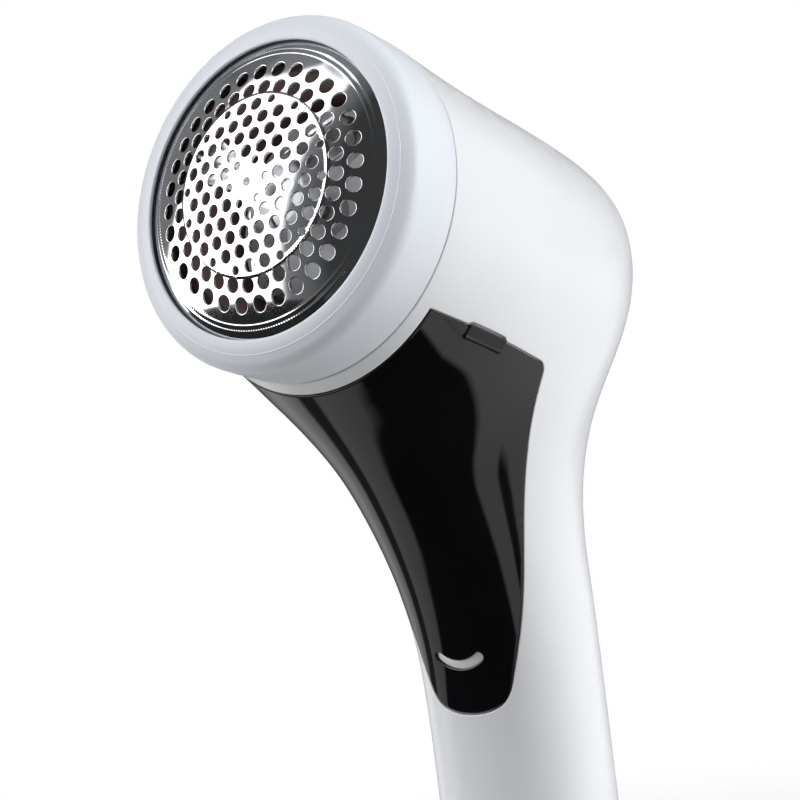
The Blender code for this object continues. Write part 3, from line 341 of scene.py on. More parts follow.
def gradient(keep, p, n):
    """The way in which keep grows fastest."""
    h = 2e-6
    parts = []
    for k in range(3):
        step = np.zeros(3)
        step[k] = h
        parts.append(keep(p + step, n) - keep(p - step, n))
    return unit(np.stack(parts, axis=-1))


# ---- trimmed skins
def kept_at(keep, t, a):
    return keep(surface(t, a), surface_normals(t, a)) < 0


def crossings(keep, ta, tb, aa, ab):
    """Where keep changes sign between pairs of surface parameters, as a share of the way."""
    low, high = np.zeros(len(ta)), np.ones(len(ta))
    start = kept_at(keep, ta, aa)
    for _ in range(HALVINGS):
        mid = (low + high) / 2
        same = kept_at(keep, ta + (tb - ta) * mid, aa + (ab - aa) * mid) == start
        low, high = np.where(same, mid, low), np.where(same, high, mid)
    return (low + high) / 2


def trimmed_patch(keep, ts, angles, wrap):
    """Faces of the surface grid where keep is below zero, cut exactly along its zero line."""
    t, a = np.meshgrid(ts, angles, indexing="ij")
    nt, na = t.shape
    t, a = t.ravel(), a.ravel()
    state = np.where(kept_at(keep, t, a), 1, -1)
    rows, cols = np.arange(nt - 1), np.arange(na if wrap else na - 1)
    i, j = (x.ravel() for x in np.meshgrid(rows, cols, indexing="ij"))
    k = (j + 1) % na
    quads = np.stack([i * na + j, (i + 1) * na + j, (i + 1) * na + k, i * na + k], axis=1)
    split = np.any(state[quads] < 0, axis=1) & np.any(state[quads] > 0, axis=1)
    pairs = set()
    for q in quads[split].tolist():
        for u, v in ((q[0], q[1]), (q[1], q[2]), (q[2], q[3]), (q[3], q[0]), (q[0], q[2])):
            if state[u] != state[v]:
                pairs.add((min(u, v), max(u, v)))
    pairs = np.array(sorted(pairs))
    turn = 2 * math.pi
    jump = a[pairs[:, 1]] - a[pairs[:, 0]]
    jump -= turn * np.round(jump / turn)
    ta, aa = t[pairs[:, 0]], a[pairs[:, 0]]
    tb, ab = t[pairs[:, 1]], aa + jump
    share = crossings(keep, ta, tb, aa, ab)
    cut_t, cut_a = ta + (tb - ta) * share, aa + (ab - aa) * share
    snapped = {}
    for n, (u, v) in enumerate(pairs.tolist()):
        for vert, near in ((u, share[n]), (v, 1 - share[n])):
            if near < SNAP and near < snapped.get(vert, (1.0, 0))[0]:
                snapped[vert] = (near, n)
    for vert, (_, n) in snapped.items():
        t[vert], a[vert], state[vert] = cut_t[n], cut_a[n], 0
    cut_index = {}
    extra_t, extra_a = [], []

    def cut_between(u, v):
        key = (min(u, v), max(u, v))
        if key not in cut_index:
            n = pair_index[key]
            cut_index[key] = len(t) + len(extra_t)
            extra_t.append(cut_t[n])
            extra_a.append(cut_a[n])
        return cut_index[key]

    pair_index = {tuple(p): n for n, p in enumerate(pairs.tolist())}
    faces = quads[np.all(state[quads] > 0, axis=1)].tolist()
    mixed = quads[np.any(state[quads] > 0, axis=1) & ~np.all(state[quads] > 0, axis=1)].tolist()
    flat = quads[np.all(state[quads] == 0, axis=1)].tolist()
    for q in mixed + flat:
        if all(state[v] >= 0 for v in q) and any(state[v] > 0 for v in q):
            faces.append(q)
            continue
        for tri in ((q[0], q[1], q[2]), (q[0], q[2], q[3])):
            if not any(state[v] > 0 for v in tri):
                continue
            poly = []
            for n, u in enumerate(tri):
                v = tri[(n + 1) % 3]
                if state[u] >= 0:
                    poly.append(u)
                if state[u] * state[v] < 0:
                    poly.append(cut_between(u, v))
            if len(poly) > 2:
                faces.append(poly)
    t, a = np.r_[t, extra_t], np.r_[a, extra_a]
    used = sorted({v for f in faces for v in f})
    renamed = {v: n for n, v in enumerate(used)}
    return t[used], a[used], [[renamed[v] for v in f] for f in faces]


def outward_faces(points, normals, faces):
    """Turn the faces so that they wind about the surface's outward normal."""
    votes = 0
    for f in faces[:200]:
        p = points[f[:3]]
        votes += np.sign(np.dot(np.cross(p[1] - p[0], p[2] - p[1]), normals[f[0]]))
    return faces if votes > 0 else [f[::-1] for f in faces]


def skin(name, keep, rows, columns, wrap=False, edge=0.00025, wall=WALL, steps=3, sink=0.0):
    """A closed shell of the body's surface where keep is below zero, with rounded rims."""
    ts, angles = np.linspace(*rows), np.linspace(*columns, endpoint=not wrap)
    t, a, faces = trimmed_patch(lambda p, n: keep(p, n) + edge, ts, angles, wrap)
    n = surface_normals(t, a)
    top = surface(t, a) - n * sink
    faces = outward_faces(top, n, faces)
    count = len(top)
    directed = {(f[k - 1], f[k]) for f in faces for k in range(len(f))}
    rim_edges = [(u, v) for u, v in directed if (v, u) not in directed]
    rim = sorted({v for e in rim_edges for v in e})
    place = {v: k for k, v in enumerate(rim)}
    base, up = top[rim], n[rim]
    out = gradient(keep, base, up)
    out = unit(out - np.sum(out * up, axis=1, keepdims=True) * up)
    points, normals = [top], [n]
    rings = [rim]
    for k in range(1, steps + 1):
        angle = math.pi / 2 * k / steps
        rings.append([count + (k - 1) * len(rim) + m for m in range(len(rim))])
        points.append(base + out * edge * math.sin(angle) - up * edge * (1 - math.cos(angle)))
        normals.append(up * math.cos(angle) + out * math.sin(angle))
    rings.append([count + steps * len(rim) + m for m in range(len(rim))])
    points.append(base + out * edge - up * wall)
    normals.append(unit(out - up * 0.5))
    first = count + (steps + 1) * len(rim)
    points.append(top - n * wall)
    normals.append(-n)
    rings.append([first + v for v in rim])
    whole = list(faces) + [[first + v for v in reversed(f)] for f in faces]
    for one, two in zip(rings, rings[1:]):
        whole += [[one[place[v]], one[place[u]], two[place[u]], two[place[v]]]
                  for u, v in rim_edges]
    return mesh_object(name, np.vstack(points), whole, np.vstack(normals))


def placed(name, data):
    made = bpy.data.objects.new(name, data)
    bpy.context.scene.collection.objects.link(made)
    return made


def mesh_object(name, points, faces, normals=None):
    mesh = bpy.data.meshes.new(name)
    mesh.from_pydata(np.asarray(points).tolist(), [], faces)
    mesh.update()
    mesh.polygons.foreach_set("use_smooth", [True] * len(mesh.polygons))
    if normals is not None:
        mesh.normals_split_custom_set_from_vertices(np.asarray(normals).tolist())
    return placed(name, mesh)


# ---- plain building blocks
def shaded(mesh, sharp):
    """Smooth shading, apart from edges over an angle in degrees."""
    mesh.polygons.foreach_set("use_smooth", [True] * len(mesh.polygons))
    mesh.set_sharp_from_angle(angle=math.radians(sharp))


def filled(mesh, bm, sharp):
    """Write a working mesh into mesh data, with its faces turned outwards."""
    bmesh.ops.recalc_face_normals(bm, faces=bm.faces)
    bm.to_mesh(mesh)
    bm.free()
    shaded(mesh, sharp)
    return mesh


def object_from(bm, name, sharp=SHARP):
    return placed(name, filled(bpy.data.meshes.new(name), bm, sharp))


def combine(target, tool, operation='DIFFERENCE'):
    modifier = target.modifiers.new("cut", 'BOOLEAN')
    modifier.object = tool
    modifier.operation = operation
    modifier.solver = 'EXACT'
    shown = target.evaluated_get(bpy.context.evaluated_depsgraph_get())
    mesh = bpy.data.meshes.new_from_object(shown)
    target.modifiers.clear()
    target.data = mesh
    shaded(mesh, SHARP)
    return target


def discard(*tools):
    for tool in tools:
        bpy.data.objects.remove(tool, do_unlink=True)


def prism(outline, low, high, place):
    """An outline drawn out from low to high; place turns (u, v, w) into a point."""
    bm = bmesh.new()
    ends = [[bm.verts.new(place(u, v, w)) for u, v in outline] for w in (low, high)]
    bm.faces.new(ends[0])
    bm.faces.new(list(reversed(ends[1])))
    for k in range(len(outline)):
        m = (k + 1) % len(outline)
        bm.faces.new((ends[0][k], ends[1][k], ends[1][m], ends[0][m]))
    return bm


def rounded_block(low, high, radius):
    bm = bmesh.new()
    bmesh.ops.create_cube(bm, size=1.0)
    size = Vector(high) - Vector(low)
    bmesh.ops.transform(bm, verts=bm.verts, matrix=Matrix.Translation(
        (Vector(high) + Vector(low)) / 2) @ Matrix.Diagonal((*size, 1.0)))
    bmesh.ops.bevel(bm, geom=list(bm.edges), offset=radius, offset_type='OFFSET',
                    segments=3, profile=0.5, affect='EDGES')
    return bm


def softened(bm, radius, segments):
    """Round every edge of a small solid."""
    bmesh.ops.recalc_face_normals(bm, faces=bm.faces)
    bmesh.ops.bevel(bm, geom=list(bm.edges), offset=radius, offset_type='OFFSET',
                    segments=segments, profile=0.5, affect='EDGES', clamp_overlap=True)
    return bm


def turned(name, profile, steps):
    """A closed profile (radius, height) turned about the head's axis."""
    profile = np.array(profile)
    angles = np.linspace(0, 2 * math.pi, steps, endpoint=False)
    points = np.stack([np.outer(np.cos(angles), profile[:, 0]),
                       np.outer(np.sin(angles), profile[:, 0]),
                       np.tile(profile[:, 1], (steps, 1))], axis=-1).reshape(-1, 3)
    m = len(profile)
    faces = []
    for i in range(steps):
        j = (i + 1) % steps
        faces += [[i * m + k, j * m + k, j * m + (k + 1) % m, i * m + (k + 1) % m]
                  for k in range(m)]
    made = mesh_object(name, points, faces)
    made.data.transform(HEAD_MATRIX)
    return reoriented(made, 28.0)


def reoriented(made, sharp):
    """Turn a mesh's faces outwards and mark the edges over an angle as sharp."""
    bm = bmesh.new()
    bm.from_mesh(made.data)
    filled(made.data, bm, sharp)
    return made


def arc(centre, radius, start, end, steps):
    """Points on an arc; its angles are in degrees."""
    return [(centre[0] + radius * math.cos(math.radians(start + (end - start) * k / steps)),
             centre[1] + radius * math.sin(math.radians(start + (end - start) * k / steps)))
            for k in range(steps + 1)]


def in_head(bm, angle=0):
    """Turn a solid about the head's axis and set it in its place there."""
    turn = Matrix.Rotation(math.radians(angle), 4, 'Z')
    bmesh.ops.transform(bm, matrix=HEAD_MATRIX @ turn, verts=bm.verts)
    return bm


# ---- materials
def nodes_of(name):
    """A new material with its node tree and its shader."""
    made = bpy.data.materials.new(name)
    made.use_nodes = True
    tree = made.node_tree
    return made, tree, tree.nodes["Principled BSDF"]


def noise(tree, scale, detail=3.0, stretch=(1.0, 1.0, 1.0)):
    place = tree.nodes.new("ShaderNodeTexCoord")
    turn = tree.nodes.new("ShaderNodeMapping")
    turn.inputs["Scale"].default_value = stretch
    made = tree.nodes.new("ShaderNodeTexNoise")
    made.inputs["Scale"].default_value = scale
    made.inputs["Detail"].default_value = detail
    tree.links.new(place.outputs["Object"], turn.inputs["Vector"])
    tree.links.new(turn.outputs["Vector"], made.inputs["Vector"])
    return made.outputs["Fac"]


def between(tree, factor, low, high):
    """A value from low to high, driven by a factor around a half."""
    made = tree.nodes.new("ShaderNodeMapRange")
    made.inputs["From Min"].default_value = 0.3
    made.inputs["From Max"].default_value = 0.7
    made.inputs["To Min"].default_value = low
    made.inputs["To Max"].default_value = high
    tree.links.new(factor, made.inputs["Value"])
    return made.outputs["Result"]


def colours(tree, factor, low, high):
    """A colour from low to high, driven by a factor around a half."""
    made = tree.nodes.new("ShaderNodeValToRGB")
    made.color_ramp.elements[0].position = 0.35
    made.color_ramp.elements[1].position = 0.65
    made.color_ramp.elements[0].color = (*low, 1.0)
    made.color_ramp.elements[1].color = (*high, 1.0)
    tree.links.new(factor, made.inputs["Fac"])
    return made.outputs["Color"]


def bump(tree, shader, height, strength, distance):
    made = tree.nodes.new("ShaderNodeBump")
    made.inputs["Strength"].default_value = strength
    made.inputs["Distance"].default_value = distance
    tree.links.new(height, made.inputs["Height"])
    tree.links.new(made.outputs["Normal"], shader.inputs["Normal"])


def plastic(name, colour, rough, spread, grain=900.0, depth=0.00002, variation=0.02, coat=0.0):
    """Moulded plastic: a slight cloud in its colour, a worn gloss and a fine grain."""
    made, tree, shader = nodes_of(name)
    darker = tuple(c * (1 - variation) for c in colour)
    tree.links.new(colours(tree, noise(tree, 60.0), darker, colour), shader.inputs["Base Color"])
    wear = noise(tree, 240.0, 4.0)
    tree.links.new(between(tree, wear, rough - spread, rough + spread),
                   shader.inputs["Roughness"])
    bump(tree, shader, noise(tree, grain, 2.0), 0.25, depth)
    shader.inputs["Coat Weight"].default_value = coat
    shader.inputs["Coat Roughness"].default_value = 0.03
    return made


def metal(name, colour, rough, spread, stretch=(1.0, 1.0, 1.0), scale=400.0):
    """Plain metal with a grain that can be stretched along the object."""
    made, tree, shader = nodes_of(name)
    shader.inputs["Metallic"].default_value = 1.0
    grain = noise(tree, scale, 5.0, stretch)
    darker = tuple(c * (1 - 0.08) for c in colour)
    tree.links.new(colours(tree, noise(tree, 90.0), darker, colour), shader.inputs["Base Color"])
    tree.links.new(between(tree, grain, max(rough - spread, 0.02), rough + spread),
                   shader.inputs["Roughness"])
    bump(tree, shader, grain, 0.3, 0.00001)
    return made


def make_materials():
    return {
        "gloss_white_plastic": plastic("white_casing", (0.83, 0.84, 0.86), 0.22, 0.04),
        "satin_white_plastic": plastic("white_ring", (0.80, 0.83, 0.88), 0.34, 0.04),
        "gloss_black_plastic": plastic("black_gloss", (0.004, 0.004, 0.005), 0.055, 0.015,
                                       500.0, 0.000006, 0.3),
        "satin_black_plastic": plastic("black_satin", (0.006, 0.006, 0.007), 0.5, 0.05),
        "window": plastic("frosted_window", (0.85, 0.83, 0.83), 0.4, 0.04),
        "polished_steel": metal("polished_foil", (0.78, 0.79, 0.81), 0.06, 0.02),
        "blade_steel": metal("ground_blade", (0.72, 0.72, 0.73), 0.32, 0.08,
                             (1.0, 1.0, 12.0), 500.0),
        "dark_brown_plastic": plastic("dark_brown", (0.110, 0.066, 0.056), 0.45, 0.06, 700.0,
                                      0.00005, 0.25),
        "dark_grey_plastic": plastic("dark_grey", (0.045, 0.046, 0.050), 0.5, 0.06, 700.0,
                                     0.00005, 0.2),
        "light_grey_plastic": plastic("light_grey", (0.42, 0.43, 0.45), 0.4, 0.05, 700.0,
                                      0.00004, 0.08),
        "zinc_plated_steel": metal("zinc_plate", (0.62, 0.63, 0.64), 0.34, 0.08),
        "motor_steel": metal("motor_can_steel", (0.60, 0.61, 0.62), 0.30, 0.08,
                             (1.0, 1.0, 1.0), 300.0),
        "brass": metal("brass_strip", (0.74, 0.56, 0.27), 0.28, 0.06),
        "cell_sleeve": plastic("cell_wrap", (0.07, 0.12, 0.20), 0.3, 0.04, 300.0, 0.00002, 0.15,
                               0.4),
    }


MATERIALS = make_materials()


def finish_with(piece, slot, body, *nodes):
    """Paint a piece, let it ride on a body, and let it stand for CAD nodes."""
    piece.data.materials.clear()
    piece.data.materials.append(MATERIALS[slot])
    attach(piece, body)
    if nodes:
        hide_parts(*nodes)
    return piece


def paint_frame():
    slots = {s["node"]: s["material_slot"] for s in frame["record"]["subparts"]}
    for node, piece in frame["nodes"].items():
        piece.data.materials.clear()
        piece.data.materials.append(MATERIALS[slots[node]])


# ---- casings
def closed_form(inset):
    """The body's whole form as one closed mesh, shrunk by inset."""
    rows, around = 90, 96
    t, a = np.meshgrid(np.linspace(0, 1, rows), np.linspace(0, 2 * math.pi, around, endpoint=False),
                       indexing="ij")
    points = surface(t, a) - surface_normals(t, a) * inset
    bm = bmesh.new()
    rings = [[bm.verts.new(p) for p in ring] for ring in points]
    bm.faces.new(rings[0])
    bm.faces.new(list(reversed(rings[-1])))
    for upper, lower in zip(rings, rings[1:]):
        for i in range(around):
            j = (i + 1) % around
            bm.faces.new((upper[i], lower[i], lower[j], upper[j]))
    return object_from(bm, "form")


def shifted(line, distance):
    """A point and the way of a line of the side view, moved sideways."""
    (ya, za), (yb, zb) = line
    way = np.array([yb - ya, zb - za]) / math.hypot(yb - ya, zb - za)
    return np.array([ya, za]) + distance * np.array([-way[1], way[0]]), way


def meet(one, two):
    """Where two lines, each a point and a way, cross."""
    (p, u), (q, v) = one, two
    share = ((q[0] - p[0]) * v[1] - (q[1] - p[1]) * v[0]) / (u[0] * v[1] - u[1] * v[0])
    return p + u * share


def lint_outline(out):
    """Open outline of the container's zone, moved outwards: from the neck to below its foot."""
    down, corner = np.array([0.0, -1.0]), BAY_CORNER
    top_line, foot_line = shifted(CONTAINER_TOP, out), shifted(CONTAINER_FOOT, out)
    neck_line = (HEAD_AXIS[1:] * (out - NECK_BAND), -HEAD_UP[1:])
    heights = np.linspace(BACK_SPAN[0] - corner, BACK_SPAN[1] + corner, 24)
    edge = np.column_stack([back_at(heights) + out, heights])
    front = meet(top_line, neck_line)
    turn = meet(top_line, (edge[0], down))
    heel = meet(foot_line, (edge[-1], down))
    upper = bezier(turn - top_line[1] * corner, turn, turn, turn + down * corner, 9)
    lower = bezier(heel - down * corner, heel, heel, heel + foot_line[1] * corner, 9)
    edge = edge[(edge[:, 1] < upper[-1, 1]) & (edge[:, 1] > lower[0, 1])]
    tip = foot_line[0] + foot_line[1] * PAST_HEEL
    return [front - HEAD_UP[1:] * PAST_NECK, front, *upper, *edge, *lower, tip]


def side_prism(outline, name):
    """A side-view outline drawn out across the whole body."""
    def place(y, z, x):
        return (x, HEAD_CENTRE[1] + y, HEAD_CENTRE[2] + z)

    return object_from(prism(outline, -BEYOND, BEYOND, place), name)


def throat():
    """The round space in the head that inner walls stay out of."""
    low, high = THROAT_SPAN
    bm = bmesh.new()
    bmesh.ops.create_cone(bm, cap_ends=True, segments=96, radius1=THROAT_RADIUS,
                          radius2=THROAT_RADIUS, depth=high - low)
    bmesh.ops.translate(bm, vec=(0, 0, (low + high) / 2), verts=bm.verts)
    return object_from(in_head(bm), "throat")


def make_shells():
    """The trimmed skins of the housing, the container, the rear cover and the cap."""
    around = (0, 2 * math.pi, ALL_ROUND)
    housing = skin("housing_shell", housing_keep, HOUSING_ROWS, around, wrap=True)
    finish_with(housing, "gloss_white_plastic", "housing", "main_housing")
    container = skin("container_shell", container_keep, *CONTAINER_AREA, edge=0.0003,
                     wall=CONTAINER_WALL, steps=4)
    finish_with(container, "gloss_black_plastic", "container", "lint_container")
    cover = skin("cover_shell", cover_keep, *COVER_AREA, edge=0.0002)
    finish_with(cover, "gloss_white_plastic", "housing", "rear_cover")
    cap = skin("cap_shell", cap_keep, CAP_ROWS, around, wrap=True, edge=0.0004)
    finish_with(cap, "gloss_white_plastic", "cap", "battery_cap")
    make_cap_floor()


def make_bay(form, cutter):
    """The housing's wall behind and above the container."""
    outer, inner = lint_outline(GAP + BAY_WALL), lint_outline(GAP)
    bay = side_prism(outer + inner[::-1], "bay_wall")
    combine(combine(bay, form, 'INTERSECT'), cutter)
    finish_with(bay, "gloss_white_plastic", "housing", "main_housing")


def make_slot_insert():
    """The pale piece that fills the slot at the container's foot."""
    insert = skin("slot_insert", insert_keep, *INSERT_AREA, edge=0.0001, wall=INSERT_WALL,
                  steps=2, sink=INSERT_SINK)
    finish_with(insert, "window", "container", "lint_container")


def make_container_walls(form, cutter):
    """The container's back plate and its collar at the neck."""
    edge, inside = lint_outline(0.0), lint_outline(-CONTAINER_WALL)
    plate = side_prism([*edge[6:], *inside[:5:-1]], "container_back")
    collar = side_prism([edge[1], edge[0], inside[0], inside[1]], "container_neck")
    for piece in (plate, collar):
        combine(combine(piece, form, 'INTERSECT'), cutter)
        finish_with(piece, "gloss_black_plastic", "container", "lint_container")
    slot_cutter = foot_slot_cutter()
    combine(plate, slot_cutter)
    discard(slot_cutter)


def make_inner_walls():
    form, cutter = closed_form(INNER_FORM), throat()
    make_bay(form, cutter)
    make_slot_insert()
    make_container_walls(form, cutter)
    discard(form, cutter)


def foot_slot_cutter():
    radius, spread, half = SLOT
    turn = math.degrees(spread)
    middle = (0.0, SLOT_FOOT + radius)
    outline = arc(middle, radius + half, 270 - turn, 270 + turn, 12)
    outline += arc(middle, radius - half, 270 + turn, 270 - turn, 12)

    def place(x, z, y):
        return (x, y, z)

    return object_from(prism(outline, *SLOT_DEPTHS, place), "slot_cutter")


def make_cap_floor():
    """The cap's underside: rings inset from the foot's edge, closed at both ends."""
    angles = np.linspace(0, 2 * math.pi, 120, endpoint=False)
    t = np.full_like(angles, 1.0)
    ring, n = surface(t, angles), surface_normals(t, angles)
    n[:, 2] = 0.0
    n = unit(n)
    rows = []
    for inset, z in CAP_FLOOR_ROWS:
        row = ring - n * inset
        row[:, 2] = z
        rows.append(row)
    count = len(angles)
    faces = [[k * count + i, k * count + (i + 1) % count, (k + 1) * count + (i + 1) % count,
              (k + 1) * count + i] for k in range(len(rows) - 1) for i in range(count)]
    faces.append(list(range(count))[::-1])
    faces.append([(len(rows) - 1) * count + i for i in range(count)])
    floor = reoriented(mesh_object("cap_floor", np.vstack(rows), faces), 25.0)
    finish_with(floor, "gloss_white_plastic", "cap", "battery_cap")


def make_catches():
    """The two snap catches at the container's top edge."""
    way, up = catch_axes()
    for side, name in ((-1, "catch_left"), (1, "catch_right")):
        def place(v, x, u):
            q = CATCH_CENTRE + way * u + up * v
            return (side * (x + CATCH_LEAN * u), HEAD_CENTRE[1] + q[0], HEAD_CENTRE[2] + q[1])

        bm = softened(prism(CATCH_PROFILE, -CATCH_HALF[0], CATCH_HALF[0], place), CATCH_BEVEL, 3)
        finish_with(object_from(bm, name, 40.0), "satin_black_plastic", "container",
                    "lint_container")


# ---- cutting head
def bead(r, centre, width, height):
    return height * np.exp(-((r - centre) / width) ** 2)


def foil_height(r):
    dome = FOIL_BASE + FOIL_RISE * (1 - np.minimum(r / FOIL_RIM, 1.0) ** 2)
    return dome + sum(bead(r, *one) for one in BEADS)


def foil_normals(xy):
    r = np.hypot(xy[:, 0], xy[:, 1])
    h = 1e-5
    slope = (foil_height(r + h) - foil_height(np.maximum(r - h, 0))) / (
        r + h - np.maximum(r - h, 0))
    around = xy / np.maximum(r, 1e-9)[:, None]
    return unit(np.column_stack([-around * slope[:, None], np.ones(len(r))]))


def foil_holes():
    """Centre and radius of every hole."""
    holes = [(0.0, 0.0, SMALL_HOLE)]
    for i in range(6):
        angle = HOLE_TURN + math.radians(60 * i)
        holes.append((INNER_HOLES * math.cos(angle), INNER_HOLES * math.sin(angle), SMALL_HOLE))
    for i in range(-5, 6):
        for j in range(-5, 6):
            norm = i * i + i * j + j * j
            if FIELD[0] <= norm <= FIELD[1]:
                p = Matrix.Rotation(HOLE_TURN, 2) @ Vector(
                    ((i + j / 2) * HOLE_PITCH, j * math.sqrt(3) / 2 * HOLE_PITCH))
                holes.append((p.x, p.y, SMALL_HOLE if norm == FIELD[1] else HOLE))
    for radius, size, phase in RIM_ROWS:
        for i in range(RIM_HOLES):
            angle = math.radians(phase) + 2 * math.pi * i / RIM_HOLES
            holes.append((radius * math.cos(angle), radius * math.sin(angle), size))
    return np.array(holes)


def clearance(points, holes):
    """Distance of flat points from the nearest hole's edge, below zero inside one."""
    away = np.hypot(points[:, None, 0] - holes[None, :, 0], points[:, None, 1] - holes[None, :, 1])
    return np.min(away - holes[None, :, 2], axis=1)


def foil_plan(holes):
    """Flat points and fixed edges of the sheet, and each point's drop, lean and hole."""
    points, edges, marks = [], [], []

    def ring(cx, cy, radius, count, mark):
        first = len(points)
        for k in range(count):
            angle = 2 * math.pi * k / count
            points.append(Vector((cx + radius * math.cos(angle), cy + radius * math.sin(angle))))
            marks.append(mark)
            edges.append((first + k, first + (k + 1) % count))

    ring(0, 0, FOIL_EDGE, 300, (0.0, 0.0, -1))
    for n, (x, y, size) in enumerate(holes):
        for beyond, down, turn in HOLE_RINGS:
            ring(x, y, size + beyond, 24, (down, turn, n))
    loose = []
    for radius in SHEET_ROWS:
        count = max(6, int(2 * math.pi * radius / SHEET_SPACING))
        angle = np.arange(count) * 2 * math.pi / count + radius * 3000
        loose.append(np.column_stack([radius * np.cos(angle), radius * np.sin(angle)]))
    loose = np.vstack(loose)
    for x, y in loose[clearance(loose, holes) > HOLE_MARGIN]:
        points.append(Vector((x, y)))
        marks.append((0.0, 0.0, -1))
    return points, edges, np.array(marks)


def foil_triangles(points, edges, holes):
    """The sheet's triangles, their points, and which point of the plan each one is."""
    flat, _, faces, origin, _, _ = delaunay_2d_cdt(points, edges, [], 1, 1e-8)
    xy = np.array([(p.x, p.y) for p in flat])
    first = np.array([o[0] if o else 0 for o in origin])
    faces = np.array([f for f in faces if len(f) == 3])
    faces = faces[clearance(xy[faces].mean(axis=1), holes) > -0.00002]
    used = np.unique(faces)
    renamed = np.full(len(xy), -1)
    renamed[used] = np.arange(len(used))
    return renamed[faces], xy[used], first[used]


def make_foil():
    """The domed sheet with its holes, as one closed mesh with rounded hole edges."""
    holes = foil_holes()
    points, edges, marks = foil_plan(holes)
    faces, xy, first = foil_triangles(points, edges, holes)
    down, turn, hole = marks[first].T
    turn, hole = np.radians(turn), hole.astype(int)
    normal = foil_normals(xy)
    top = np.column_stack([xy, foil_height(np.hypot(xy[:, 0], xy[:, 1]))])
    inward = np.zeros_like(top)
    has = hole >= 0
    inward[has, :2] = holes[hole[has], :2] - xy[has]
    inward = unit(inward - np.sum(inward * normal, axis=1, keepdims=True) * normal)
    shade = normal * np.cos(turn)[:, None]
    shade[has] += inward[has] * np.sin(turn[has])[:, None]
    low = top - normal * FOIL_THICKNESS
    top = top - normal * down[:, None]
    count = len(top)
    faces = faces.tolist()
    p = top[faces[0]]
    if np.cross(p[1] - p[0], p[2] - p[0])[2] < 0:
        faces = [f[::-1] for f in faces]
    directed = {(f[k - 1], f[k]) for f in faces for k in range(3)}
    open_edges = [(u, v) for u, v in directed if (v, u) not in directed]
    whole = faces + [[count + v for v in reversed(f)] for f in faces]
    whole += [[v, u, count + u, count + v] for u, v in open_edges]
    under, edge = -normal, turn > 1.5
    under[edge] = unit(inward[edge] - normal[edge])
    foil = mesh_object("foil_sheet", np.vstack([top, low]), whole, np.vstack([shade, under]))
    foil.data.transform(HEAD_MATRIX)
    finish_with(foil, "polished_steel", "foil", "shaving_foil")


def make_ring():
    """The white ring and the three bayonet lugs inside it."""
    outline = [*RING_SIDE, *arc(RING_SHOULDER, RING_ROUND, 0, 66, 18)]
    outline += [tuple(p) for p in bezier(*np.array(RING_CROWN), 22)[1:]]
    outline += [*arc(RING_LIP, LIP_RADIUS, 75, 180, 5), *RING_INSIDE]
    ring = turned("ring_shell", outline, 256)
    finish_with(ring, "satin_white_plastic", "ring", "retaining_ring")
    for n, angle in enumerate(LUG_ANGLES, 1):
        lug = object_from(in_head(rounded_block(*LUG_BLOCK, 0.0003), angle), f"ring_lug_{n}")
        finish_with(lug, "satin_white_plastic", "ring", "retaining_ring")


def make_blade_wings():
    """The bent foot of each blade, lying on the carrier's arm."""
    (root, tip, end), (narrow, wide) = WING_RADII, WING_HALF
    outline = [(root, -narrow), (tip, -wide), *arc((0.0, 0.0), end, -11, 11, 6),
               (tip, wide), (root, narrow)]

    def place(u, v, w):
        return (u, v, w)

    for n, angle in enumerate(BLADE_TURNS, 1):
        bm = softened(prism(outline, *WING_HEIGHTS, place), 0.00008, 2)
        finish_with(object_from(in_head(bm, angle), f"blade_wing_{n}"), "blade_steel", "carrier")


# ---- studio
# The photo's camera, solved from the foil's ellipse, its tilt and the container's outline:
# its axes, and how far the head's centre lies along each.
CAMERA_AXES = np.array([[0.78377, 0.61166, -0.10757], [0.05037, 0.11003, 0.99265],
                        [0.61900, -0.78343, 0.05543]])
CAMERA_REACH = np.array([-0.01485, 0.03291, -0.51358])
LENS, SENSOR = 135.0, 36.0


def make_camera():
    data = bpy.data.cameras.new("camera")
    data.lens = LENS
    data.sensor_width = SENSOR
    data.clip_start = 0.01
    camera = placed("camera", data)
    turn = Matrix(CAMERA_AXES).transposed().to_4x4()
    camera.matrix_world = Matrix.Translation(HEAD_CENTRE - CAMERA_REACH @ CAMERA_AXES) @ turn
    bpy.context.scene.camera = camera


def area_light(name, place, target, size, power):
    """A rectangular light that reflections don't show."""
    data = bpy.data.lights.new(name, 'AREA')
    data.shape = 'RECTANGLE'
    data.size, data.size_y = size
    data.energy = power
    light = placed(name, data)
    light.location = place
    way = Vector(target) - Vector(place)
    light.rotation_euler = way.to_track_quat('-Z', 'Y').to_euler()
    light.visible_glossy = False
    return light


def link_ramp(tree, value, low, high, stops):
    """A grey colour ramp over a value, with stops as (place, grey)."""
    fit = tree.nodes.new("ShaderNodeMapRange")
    fit.inputs["From Min"].default_value = low
    fit.inputs["From Max"].default_value = high
    tree.links.new(value, fit.inputs["Value"])
    ramp = tree.nodes.new("ShaderNodeValToRGB")
    elements = ramp.color_ramp.elements
    elements[0].position = (stops[0][0] - low) / (high - low)
    elements[-1].position = (stops[-1][0] - low) / (high - low)
    for place, _ in stops[1:-1]:
        elements.new((place - low) / (high - low))
    for n, (_, grey) in enumerate(stops):
        elements[n].color = (grey, grey, grey, 1.0)
    tree.links.new(fit.outputs["Result"], ramp.inputs["Fac"])
    return ramp.outputs["Color"]


def math_node(tree, operation, *values):
    """A node that works on numbers and on other nodes' outputs."""
    made = tree.nodes.new("ShaderNodeMath")
    made.operation = operation
    for socket, value in zip(made.inputs, values):
        if isinstance(value, (int, float)):
            socket.default_value = value
        else:
            tree.links.new(value, socket)
    return made.outputs[0]


def times(tree, one, two):
    return math_node(tree, 'MULTIPLY', one, two)


